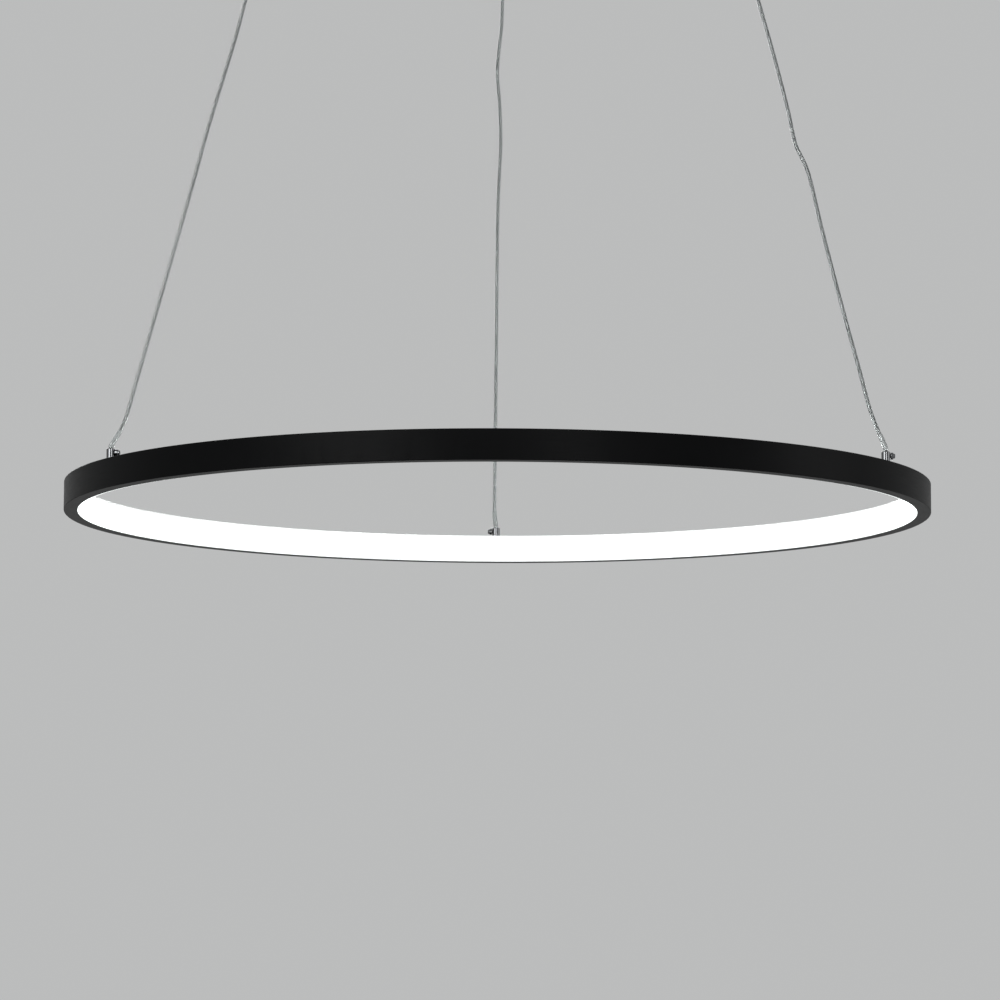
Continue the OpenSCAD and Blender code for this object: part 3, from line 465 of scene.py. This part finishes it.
# A turned part: its profile runs up the outside, and down the bore if it has one
def lathe(profile, around=64, shape=None, closed=False):
    angle = 2 * np.pi * np.arange(around)[None, :] / around
    profile = np.array(profile, float)
    radius = np.repeat(profile[:, :1], around, axis=1)
    height = np.repeat(profile[:, 1:], around, axis=1)
    if shape:
        radius = shape(radius, height, angle)
    points = np.stack([radius * np.cos(angle), radius * np.sin(angle), height], axis=2).reshape(-1, 3)
    return points, grid_faces(len(profile), around, closed)


# A smooth line through a route's points, sampled at even steps
def smooth_line(points, step):
    points = np.array(points, float)
    ends = np.vstack([2 * points[0] - points[1], points, 2 * points[-1] - points[-2]])
    gaps = np.linalg.norm(np.diff(ends, axis=0), axis=1) ** 0.5
    knots = np.concatenate([[0], np.cumsum(gaps)])
    fine = []
    for i in range(1, len(ends) - 2):
        p0, p1, p2, p3 = ends[i - 1:i + 3]
        t0, t1, t2, t3 = knots[i - 1:i + 3]
        for t in np.linspace(t1, t2, 24, endpoint=False):
            a1 = ((t1 - t) * p0 + (t - t0) * p1) / (t1 - t0)
            a2 = ((t2 - t) * p1 + (t - t1) * p2) / (t2 - t1)
            a3 = ((t3 - t) * p2 + (t - t2) * p3) / (t3 - t2)
            b1 = ((t2 - t) * a1 + (t - t0) * a2) / (t2 - t0)
            b2 = ((t3 - t) * a2 + (t - t1) * a3) / (t3 - t1)
            fine.append(((t2 - t) * b1 + (t - t1) * b2) / (t2 - t1))
    fine = np.array(fine + [points[-1]])
    walked = np.concatenate([[0], np.cumsum(np.linalg.norm(np.diff(fine, axis=0), axis=1))])
    count = max(3, int(round(walked[-1] / step)) + 1)
    at = np.linspace(0, walked[-1], count)
    return np.stack([np.interp(at, walked, fine[:, k]) for k in range(3)], axis=1)


# Two directions square to a line at each of its points, without twist
def frames_along(line):
    ahead = np.gradient(line, axis=0)
    ahead /= np.linalg.norm(ahead, axis=1)[:, None]
    side = np.cross(ahead[0], [0.36, 0.48, 0.8])
    side /= np.linalg.norm(side)
    sides = []
    for direction in ahead:
        side = side - direction * side.dot(direction)
        side /= np.linalg.norm(side)
        sides.append(side)
    sides = np.array(sides)
    return sides, np.cross(ahead, sides)


def tube(line, radius, around):
    u, v = frames_along(line)
    radii = np.broadcast_to(radius, len(line))
    angles = 2 * np.pi * np.arange(around) / around
    circle = np.cos(angles)[None, :, None] * u[:, None, :] + np.sin(angles)[None, :, None] * v[:, None, :]
    points = (line[:, None, :] + radii[:, None, None] * circle).reshape(-1, 3)
    return points, grid_faces(len(line), around)


# Strands that wind round a line
def wound(line, pitch, orbit, radius, count, around):
    u, v = frames_along(line)
    walked = np.concatenate([[0], np.cumsum(np.linalg.norm(np.diff(line, axis=0), axis=1))])
    parts = []
    for k in range(count):
        turn = 2 * np.pi * (walked / pitch + k / count)
        aside = np.cos(turn)[:, None] * u + np.sin(turn)[:, None] * v
        parts.append(tube(line + orbit * aside, radius, around))
    return merge(parts)


def in_plane(route, i):
    turn = math.radians(CORD_ANGLES[i] - 90)
    return np.array([
        (
            sideways * math.cos(turn) - radius * math.sin(turn),
            sideways * math.sin(turn) + radius * math.cos(turn),
            z,
        )
        for radius, sideways, z in route
    ])


# The three suspension cords: twisted silver strands in a clear sheath
STRAND_COUNT = 6
STRAND_D = 0.62
STRAND_ORBIT = 0.7
STRAND_PITCH = 7.5
SLEEVE_D = 3.4
SLEEVE_TOP = -801
SLEEVE_GAP = 0.3
SLEEVE_TAPER = 0.12


def strands(route):
    line = smooth_line(route, 0.62)
    return wound(line, STRAND_PITCH, STRAND_ORBIT, STRAND_D / 2, STRAND_COUNT, 6)


def make_cords():
    for i in CORD_ANGLES:
        route = in_plane(ROUTES[i], i)
        line = smooth_line(route, 3)
        sheath = add_mesh(f"cord_sheath_{i}", tube(line, CORD_D / 2, 20), materials["clear_cord"])
        core = add_mesh(f"cord_core_{i}", strands(route), strand)
        fine = smooth_line(route, 0.8)
        covered = fine[(fine[:, 2] < SLEEVE_TOP) & (fine[:, 2] > BARREL_TOP + SLEEVE_GAP)]
        walls = np.full(len(covered), SLEEVE_D / 2)
        walls[[0, -1]] -= SLEEVE_TAPER
        sleeve = add_mesh(f"cord_sleeve_{i}", tube(covered, walls, 24), sleeve_film)
        for piece in (sheath, core, sleeve):
            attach(piece, "canopy")
            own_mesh(piece)
        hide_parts(f"cord_{i}")


# The cords' tails, up through their grips and on to the splices
TAIL_WAYS = {
    1: [(1, 74.5, -20.5), (5, 72, -17.5), (11, 69, -17), (18, 66, -17)],
    2: [(-65.2, -36.5, -20.5), (-65.7, -32, -17.5), (-66, -26, -17), (-66.4, -19, -17)],
    3: [(65.2, -36.5, -20.5), (65.7, -32, -17.5), (66.2, -26, -17), (66.8, -19, -17)],
}


def tail_route(i):
    levels = (MOUTH_Z, -48, CANOPY_FLOOR, STEM_TOP, STEM_TOP + 2)
    return [tuple(at_cord(i, GRIP_CIRCLE, z).translation) for z in levels] + TAIL_WAYS[i]


def make_tails():
    sheaths = merge([tube(smooth_line(tail_route(i), 1.2), CORD_D / 2, 16) for i in CORD_ANGLES])
    add_piece("tail_sheaths", "canopy", "clear_cord", sheaths, replaces=["cord_tails"])
    cores = merge([strands(tail_route(i)) for i in CORD_ANGLES])
    add_piece("tail_cores", "canopy", "clear_cord", cores, strand)


# The cords' ends in their anchors, with crimped stops
def make_cord_ends():
    low = RING_TOP - STUD_L - STOP_L
    upright = np.array([(0, 0, z) for z in np.linspace(low, BARREL_TOP, 8)])
    ends = [placed(tube(upright, CORD_D / 2, 20), at_cord(i, ANCHOR_R)) for i in CORD_ANGLES]
    add_piece("end_sheaths", "ring", "clear_cord", merge(ends), replaces=["cord_ends"])

    def crimped(radius, height, angle):
        inside_crimp = (height > low + 0.5) & (height < low + 2)
        dent = np.where(inside_crimp, 0.22 * (0.5 + 0.5 * np.cos(6 * angle)), 0)
        return np.where(radius > 1.6, radius - dent, radius)

    profile = [(1.35, low - 0.1), (1.75, low - 0.1), (1.9, low + 0.05), (1.9, low + 0.45)]
    profile += [(1.9, low + z) for z in np.linspace(0.6, 1.9, 8)]
    profile += [(1.9, low + 2.1), (1.9, low + 2.35), (1.75, low + 2.5), (1.35, low + 2.5)]
    stops = [placed(lathe(profile, 48, crimped, closed=True), at_cord(i, ANCHOR_R)) for i in CORD_ANGLES]
    add_piece("cord_stops", "ring", "nickel", merge(stops))


# Threads, cut into every ring of a turned piece that lies on the crest
def thread(crest, pitch, depth):
    def cut(radius, height, angle):
        wave = 0.5 + 0.5 * np.cos(2 * np.pi * height / pitch - angle)
        groove = depth * np.clip(1.4 * wave - 0.2, 0, 1)
        return np.where(np.abs(radius - crest) < 0.001, radius - groove, radius)
    return cut


# Cord grips: a threaded stem, a flange and a nose round the spring chamber and the conical seat
GRIP_CAVITY = [(2.75, -53), (2.75, -46.79), (4, -33), (4, -29), (1.4, -29), (1.4, STEM_TOP)]


def make_grips():
    crest, pitch, depth = 5, 1, 0.5
    stem = [(crest - 0.02, -38.05), (crest - depth, -38), (crest - depth, -37.6)]
    stem += [(crest, z) for z in np.arange(-37.4, STEM_TOP - 0.55, pitch / 10)]
    stem += [(crest - 0.01, STEM_TOP - 0.5), (crest - depth - 0.05, STEM_TOP)]
    outside = [(4.1, -53), (4.42, -52.88), (4.5, -52.3), (4.5, -41.3), (4.62, -41.02), (4.9, -41)]
    outside += [(6.6, -41), (6.88, -40.88), (7, -40.6), (7, -38.35), (6.9, -38.12), (6.7, -38.05)]
    body = lathe(outside + stem + GRIP_CAVITY[::-1], 72, thread(crest, pitch, depth), closed=True)
    for i in CORD_ANGLES:
        add_piece(
            f"threaded_grip_{i}", "canopy", "nickel", placed(body, at_cord(i, GRIP_CIRCLE)), sharp=32,
            replaces=[f"grip_body_{i}"],
        )


# Springs of the grips, with closed ends
SPRING_BOTTOM = -35.45
SPRING_TOP = -29.05


def make_springs():
    wire_radius, coil_radius, closed_turns, open_turns = 0.25, 2.9, 0.75, 4
    all_turns = 2 * closed_turns + open_turns
    turns = np.linspace(0, all_turns, 24 * 6)
    low, high, closed_rise = SPRING_BOTTOM + wire_radius, SPRING_TOP - wire_radius, 0.52 * closed_turns
    heights = np.interp(
        turns, [0, closed_turns, all_turns - closed_turns, all_turns],
        [low, low + closed_rise, high - closed_rise, high],
    )
    angles = 2 * np.pi * turns
    line = np.stack([coil_radius * np.cos(angles), coil_radius * np.sin(angles), heights], axis=1)
    coil = tube(line, wire_radius, 10)
    for i in CORD_ANGLES:
        spring = add_piece(
            f"coil_spring_{i}", "canopy", "spring_steel", placed(coil, at_cord(i, GRIP_CIRCLE)),
            replaces=[f"grip_spring_{i}"],
        )
        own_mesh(spring)


# Hexagon nuts with chamfered corners and a countersunk bore
def hex_nut(across, height, bore):
    flat, corner = across / 2, across / math.sqrt(3)
    start = 0.96 * flat
    rise = (corner - start) * math.tan(math.radians(30))

    def six_sided(radius, z, angle):
        off = np.mod(angle, math.pi / 3) - math.pi / 6
        return np.where(radius > bore / 2 + 0.3, np.minimum(radius, flat / np.cos(off)), radius)

    bevel = [(start + (corner - start) * k / 6, rise * k / 6) for k in range(7)]
    profile = [(bore / 2 + 0.2, 0)] + bevel + [(r, height - z) for r, z in reversed(bevel)]
    profile += [(bore / 2 + 0.2, height), (bore / 2, height - 0.2), (bore / 2, 0.2)]
    return lathe(profile, 72, six_sided, closed=True)


def make_nuts():
    grip_nut = hex_nut(14, 3.5, 10.1)
    anchor_nut = hex_nut(5.5, 2.2, 4.1)
    driver_nut = hex_nut(5.5, 2.4, 3.1)
    kinds = {
        "grip_nuts": ("canopy", [
            placed(grip_nut, at_cord(i, GRIP_CIRCLE, CANOPY_FLOOR + 0.05)) for i in CORD_ANGLES
        ]),
        "anchor_nuts": ("ring", [
            placed(anchor_nut, at_cord(i, ANCHOR_R, RING_TOP - FLANGE_T - 2.25)) for i in CORD_ANGLES
        ]),
        "driver_nuts": ("canopy", [
            placed(driver_nut, Matrix.Translation((x, 24, -34.4))) for x in (-64.5, 64.5)
        ]),
    }
    for name, (body, parts) in kinds.items():
        add_piece(f"chamfered_{name}", body, slot_of[name], merge(parts), sharp=25, replaces=[name])


# A block with rounded corners, from (inset, height) pairs that run from its bottom to its top
def rounded_block(half_x, half_y, corner, levels, at=(0, 0)):
    turn = np.linspace(0, math.pi / 2, 5)
    corners = ((1, 1, 0), (-1, 1, 1), (-1, -1, 2), (1, -1, 3))
    points = []
    for inset, height in levels:
        x, y = half_x - inset - corner, half_y - inset - corner
        for side_x, side_y, quarter in corners:
            middle_x, middle_y = at[0] + side_x * x, at[1] + side_y * y
            points += [
                (middle_x + corner * math.cos(angle), middle_y + corner * math.sin(angle), height)
                for angle in turn + quarter * math.pi / 2
            ]
    return np.array(points), grid_faces(len(levels), 4 * len(turn))


# Driver board: its panel on four feet, and the parts on it
BOARD_Y = 24
BOARD_Z = -31


def on_board(name, material, parts):
    parts = placed(parts, Matrix.Translation((0, BOARD_Y, BOARD_Z)))
    add_piece(name, "canopy", "circuit_board", parts, material, replaces=["driver_board"])


def make_board():
    panel = rounded_block(52, 16, 1, [(0.15, -1.6), (0, -1.45), (0, -0.15), (0.15, 0)])
    on_board("board_panel", materials["circuit_board"], panel)
    foot = [(0.01, -4.2), (2, -4.2), (2, -3.7), (1.5, -3.4), (1.5, -2.3), (2, -2), (2, -1.6), (0.01, -1.6)]
    places = [(x, y) for x in (-47, 47) for y in (-11, 11)]
    feet = [placed(lathe(foot, 32), Matrix.Translation((x, y, 0))) for x, y in places]
    on_board("board_feet", materials["white_plastic"], merge(feet))


# Transformer: a core like a rectangular frame, given as half its width and its lowest and highest level
def make_transformer():
    outer, inner, depth = (9, 0, 11), (6.2, 2.6, 8.4), 5.5
    outlines = [
        [(-half, y, below), (half, y, below), (half, y, above), (-half, y, above)]
        for (half, below, above), y in ((outer, -depth), (outer, depth), (inner, depth), (inner, -depth))
    ]
    core = np.array([outline[k] for k in range(4) for outline in outlines])
    on_board("transformer_core", ferrite, (core, grid_faces(4, 4, True)))
    taped = [(0.5, 2.8), (0, 3.2), (0, 5.2), (0.25, 5.3), (0.25, 5.7), (0, 5.8), (0, 7.8), (0.5, 8.2)]
    on_board("transformer_winding", winding_tape, rounded_block(6, 9, 2.2, taped))
    bobbin = [(0.2, 0), (0, 0.3), (0, 2.2), (0.3, 2.6)]
    flanges = [rounded_block(6, 1.6, 0.5, bobbin, at=(0, y)) for y in (-7.3, 7.3)]
    on_board("transformer_bobbin", can_sleeve, merge(flanges))


def make_capacitors():
    sleeves, tops = [], []
    for x, radius in ((-30, 4.5), (30, 4)):
        sleeve = [
            (0.01, 0), (radius - 0.4, 0), (radius, 0.4), (radius, 1.6), (radius - 0.35, 2),
            (radius - 0.35, 2.3), (radius, 2.7), (radius, 9.6), (radius - 0.3, 9.95), (radius - 0.9, 10),
            (radius - 0.9, 9.7), (0.01, 9.7),
        ]
        top = [(0.01, 9.71), (radius - 0.95, 9.71), (radius - 0.95, 9.84), (radius - 1.1, 9.9), (0.01, 9.9)]
        sleeves.append(placed(lathe(sleeve, 48), Matrix.Translation((x, 0, 0))))
        tops.append(placed(lathe(top, 48), Matrix.Translation((x, 0, 0))))
    on_board("can_sleeves", can_sleeve, merge(sleeves))
    on_board("can_tops", can_top, merge(tops))
    film = [(0.7, 0), (0.1, 0.6), (0, 1.2), (0, 8.8), (0.15, 9.5), (0.8, 10)]
    on_board("film_capacitor", red_epoxy, rounded_block(2.5, 6.5, 1.2, film, at=(-40.5, 0)))


# Heat sink: a comb of fins, seen from above
def make_heat_sink():
    fins, fin_pitch, fin_width = 5, 3.7, 1.2
    back_x, root_x, tip_x, half_y, tall = 18, 19.1, 21, 8, 10
    comb = [(back_x, half_y), (back_x, -half_y)]
    for k in range(fins):
        y = -half_y + fin_pitch * k
        comb += [(tip_x, y), (tip_x, y + fin_width)]
        if k < fins - 1:
            comb += [(root_x, y + fin_width), (root_x, y + fin_pitch)]
    comb_points = np.array([(x, y, height) for height in (0, tall) for x, y in comb])
    on_board("finned_sink", can_top, (comb_points, grid_faces(2, len(comb))))


# Light chips: a white frame with its phosphor in a recess
def make_chips():
    frame_levels = [(0, 0), (0, 0.55), (0.15, 0.7), (0.45, 0.7), (0.55, 0.5)]
    phosphor_levels = [(0.57, 0.51), (0.62, 0.6), (0.9, 0.66)]
    frames, phosphors = [], []
    for k in range(CHIP_COUNT):
        angle = 2 * math.pi * (k + 0.5) / CHIP_COUNT
        x, y = math.cos(angle), math.sin(angle)
        stand = Matrix((
            (y, 0, -x, CHIP_BACK_R * x),
            (-x, 0, -y, CHIP_BACK_R * y),
            (0, 1, 0, RING_CENTRE.z / MM),
            (0, 0, 0, 1),
        ))
        frames.append(placed(rounded_block(1.75, 1.4, 0.2, frame_levels), stand))
        phosphors.append(placed(rounded_block(1.75, 1.4, 0.2, phosphor_levels), stand))
    add_piece(
        "chip_frames", "ring", "light_chip", merge(frames), materials["white_plastic"], replaces=["led_chips"]
    )
    add_piece("chip_phosphor", "ring", "light_chip", merge(phosphors), replaces=["led_chips"])


# Finer arcs: parts to an edge, the least turn that is split, and the slack of one circle's points
ARC_PARTS = 4
LEAST_TURN = math.radians(1)
SAME_CIRCLE = 0.002


# A node's mesh with its holes and seam, in which each edge that runs round the axis follows its true arc
def on_arcs(name):
    form = bmesh.new()
    form.from_mesh(nodes[name].data)
    bmesh.ops.remove_doubles(form, verts=form.verts, dist=1e-7)
    bmesh.ops.triangulate(form, faces=form.faces)
    form.verts.index_update()
    points = [np.array(vert.co) / MM for vert in form.verts]
    angle = [math.atan2(point[1], point[0]) for point in points]
    radius = [math.hypot(point[0], point[1]) for point in points]

    def turn(a, b):
        return (angle[b] - angle[a] + math.pi) % (2 * math.pi) - math.pi

    arcs = {}
    for edge in form.edges:
        a, b = (vert.index for vert in edge.verts)
        apart = max(abs(radius[a] - radius[b]), abs(points[a][2] - points[b][2]))
        if apart >= SAME_CIRCLE or abs(turn(a, b)) <= LEAST_TURN:
            continue
        way = [a]
        for k in range(1, ARC_PARTS):
            at = angle[a] + turn(a, b) * k / ARC_PARTS
            way.append(len(points))
            points.append(np.array([radius[a] * math.cos(at), radius[a] * math.sin(at), points[a][2]]))
        arcs[a, b] = way + [b]
        arcs[b, a] = arcs[a, b][::-1]

    # Two triangles between a pair of arcs become a strip of quads
    faces, done = [], set()
    for edge in form.edges:
        a, b = (vert.index for vert in edge.verts)
        if (a, b) in arcs or len(edge.link_faces) != 2 or abs(turn(a, b)) < LEAST_TURN:
            continue
        tips = [next(v.index for v in face.verts if v.index not in (a, b)) for face in edge.link_faces]
        for start, end in ((a, b), (b, a)):
            first, second = arcs.get((start, tips[0])), arcs.get((tips[1], end))
            if first and second and not done.intersection(edge.link_faces):
                faces += [(first[k], first[k + 1], second[k + 1], second[k]) for k in range(ARC_PARTS)]
                done.update(edge.link_faces)

    # The other triangles become fans from the corner that faces their arc, or keep their shape
    for face in form.faces:
        if face in done:
            continue
        ways = [arcs.get((loop.vert.index, loop.link_loop_next.vert.index)) for loop in face.loops]
        if sum(way is not None for way in ways) == 1:
            k = next(k for k in range(3) if ways[k])
            tip = face.loops[(k + 2) % 3].vert.index
            faces += [(tip, ways[k][n], ways[k][n + 1]) for n in range(ARC_PARTS)]
        else:
            corners = []
            for way, loop in zip(ways, face.loops):
                corners += way[:-1] if way else [loop.vert.index]
            faces.append(tuple(corners))
    form.free()
    return np.array(points), faces


def make_ring():
    for piece, name in (("turned_ring", "ring_profile"), ("turned_diffuser", "diffuser")):
        add_piece(piece, "ring", slot_of[name], on_arcs(name), sharp=5, replaces=[name])


# Leads inside the canopy
LEAD_SIDES = 18
LEAD_WAYS = {
    "live": ("brown_lead", [
        (-10, -30, -8), (-10, -23, -8), (-13, -16, -9.5), (-23, -8, -13), (-40, -2, -17), (-58, 1, -21),
        (-69, 8, -25), (-71.5, 16, -26.4), (-67, 21, -26.4), (-60, 21, -26.4), (-56, 21, -26.4),
    ]),
    "neutral": ("blue_lead", [
        (0, -30, -8), (0, -23, -8), (-3, -16, -8), (-13, -7, -10), (-40, 2, -14), (-60, 2.5, -19),
        (-73, 14, -24), (-75, 22, -26.4), (-70, 27, -26.4), (-60, 27, -26.4), (-56, 27, -26.4),
    ]),
    "earth": ("green_lead", [
        (10, -42, -8), (10, -49, -8), (12, -53, -8), (16.5, -54.5, -8), (19.6, -51, -8), (20.2, -45, -7.5),
        (20.2, -43, -7.3),
    ]),
    "plus": ("red_lead", [
        (31, 60.4, -17), (37, 57.9, -17), (50, 52, -18.5), (62, 45, -22), (69, 36, -25.5), (67, 29, -26.4),
        (60, 27, -26.4), (56, 27, -26.4),
    ]),
    "minus": ("black_lead", [
        (67.9, -6, -17), (68.3, -2, -17.3), (69.5, 4, -20), (71, 11, -24), (69.5, 17.5, -26.2),
        (65, 20.5, -26.4), (60, 21, -26.4), (56, 21, -26.4),
    ]),
}
SPLICED = {"plus": 1, "minus": 3}


def spliced_way(name, way):
    if name not in SPLICED:
        return way
    before, last = (Vector(p) for p in TAIL_WAYS[SPLICED[name]][-2:])
    return [tuple(last + 6 * (last - before).normalized())] + way


def make_leads():
    for name, (slot, way) in LEAD_WAYS.items():
        line = smooth_line(spliced_way(name, way), 0.7)
        insulation = tube(line, LEAD_D / 2, LEAD_SIDES)
        lead = add_piece(f"{name}_insulation", "canopy", slot, insulation, replaces=[f"{name}_lead"])
        if name == "earth":
            lead.data.materials.append(yellow_stripe)
            sides = len(lead.data.polygons) - 2
            stripe = [(k % LEAD_SIDES) // 5 % 2 for k in range(sides)] + [0, 0]
            lead.data.polygons.foreach_set("material_index", stripe)


# The earth lead's ring tag: a washer, a flat neck and a crimped barrel
def make_earth_tag():
    washer = lathe([(2.15, 0), (3.5, 0), (3.7, 0.1), (3.7, 0.7), (3.5, 0.8), (2.15, 0.8)], 48, closed=True)
    turned = Matrix.Translation((19.1, -36, -7)) @ Matrix.Rotation(math.radians(90), 4, "Y")
    neck = tube(smooth_line([(19.5, -39, -7), (19.5, -40.5, -7), (20, -41.6, -7.2)], 0.3), 0.42, 12)
    neck[0][:, 2] = -7 + (neck[0][:, 2] + 7) * 3
    barrel = tube(
        np.array([(20.2, y, -7.35) for y in (-41.3, -41.5, -42.2, -42.6, -43.2, -43.6, -44.4, -44.6)]),
        np.array([1.3, 1.4, 1.4, 1.15, 1.15, 1.4, 1.4, 1.3]), 24,
    )
    add_piece("earth_ring_tag", "canopy", "zinc_steel", merge([placed(washer, turned), neck, barrel]))


# Feed wires in the channel, from the cords' stops to the solder pads
FEED_WAY = [
    (296, 0, -826.7), (296, 0, -828), (296.1, 0.6, -829.2), (296.6, 2, -829.9), (297.4, 3.4, -830),
    (298.2, 4, -830),
]


def make_feed_wires():
    for i, slot in ((1, "red_lead"), (3, "black_lead")):
        line = smooth_line(in_plane(FEED_WAY, i), 0.25)
        add_piece(f"feed_wire_{i}", "ring", slot, tube(line, 0.5, 12), replaces=["feed_wires"])


# Domes of solder on the strip's pads, a little to the side of their cords
def make_solder():
    turn = math.degrees(4 / 298.5)
    profile = [(0.0001, 0), (0.5, 0.02), (0.85, 0.1), (1.1, 0.22), (1.2, 0.36), (1.2, 0.5)]
    dome = lathe([(r, 0.5 - z) for r, z in reversed(profile)], 32)
    pads = []
    for i in (1, 3):
        aim = Matrix.Rotation(math.radians(CORD_ANGLES[i] - 90 - turn), 4, "Z")
        spot = aim @ Matrix.Translation((0, 298.54, -830))
        pads.append(placed(dome, spot @ Matrix.Rotation(math.radians(90), 4, "X")))
    add_piece("solder_joints", "ring", "zinc_steel", merge(pads))


# Floor, backdrop and light
FLOOR_Z = -7200
FLOOR_REACH = 26000


# Pale floor that fades out towards its rim, so that no horizon shows
def floor_finish(colour):
    material, tree, shader = new_material("floor")
    where = place_of(tree)
    paint(tree, shader, noise(tree, where, 0.6, 2.0), shade(colour, 0.99), shade(colour, 1.01))
    shader.inputs["Roughness"].default_value = 0.9
    shader.inputs["Specular IOR Level"].default_value = 0.1
    flat = node(tree, "ShaderNodeVectorMath", {0: where, 1: (1, 1, 0)}, operation="MULTIPLY").outputs[0]
    reach = node(tree, "ShaderNodeVectorMath", {0: flat}, operation="LENGTH").outputs["Value"]
    clear = node(tree, "ShaderNodeBsdfTransparent")
    mixed = node(tree, "ShaderNodeMixShader", {
        0: spread(tree, reach, 0.25 * FLOOR_REACH * MM, 0.95 * FLOOR_REACH * MM, 0, 1),
        1: shader.outputs[0], 2: clear.outputs[0],
    })
    tree.links.new(mixed.outputs[0], tree.nodes["Material Output"].inputs["Surface"])
    return material


def area_light(name, place, target, size, energy):
    data = bpy.data.lights.new(name, "AREA")
    data.shape = "RECTANGLE"
    data.size, data.size_y = size
    data.energy = energy
    lamp = bpy.data.objects.new(name, data)
    bpy.context.scene.collection.objects.link(lamp)
    lamp.location = place
    lamp.rotation_mode = "QUATERNION"
    lamp.rotation_quaternion = (Vector(target) - Vector(place)).to_track_quat("-Z", "Y")


def make_stage():
    angles = [2 * math.pi * k / 96 for k in range(96)]
    rim = [(FLOOR_REACH * math.cos(a), FLOOR_REACH * math.sin(a), FLOOR_Z) for a in angles]
    floor = add_mesh("floor", (rim, [tuple(range(96))]), floor_finish((0.86, 0.865, 0.865)))
    world = bpy.data.worlds.new("studio")
    bpy.context.scene.world = world
    world.use_nodes = True
    background = world.node_tree.nodes["Background"]
    background.inputs["Color"].default_value = (0.5, 0.505, 0.505, 1)
    background.inputs["Strength"].default_value = 1.0
    area_light("key", (-1.9, -2.6, 0.2), (0, 0, -0.7), (1.6, 2.4), 68)
    area_light("strip", (0.9, -3.0, -0.3), (0, 0, -0.8), (0.3, 1.6), 18)
    area_light("fill", (2.9, -0.3, -0.5), (0, 0, -0.6), (1.0, 2.0), 16)
    area_light("back", (-0.6, 2.8, 0.4), (0, 0, -0.6), (2.0, 1.4), 26)


place_camera()
dress_nodes()
make_cords()
make_tails()
make_cord_ends()
make_grips()
make_springs()
make_nuts()
make_board()
make_transformer()
make_capacitors()
make_heat_sink()
make_chips()
make_ring()
make_leads()
make_earth_tag()
make_feed_wires()
make_solder()
make_stage()
bpy.context.scene.view_settings.view_transform = "Standard"
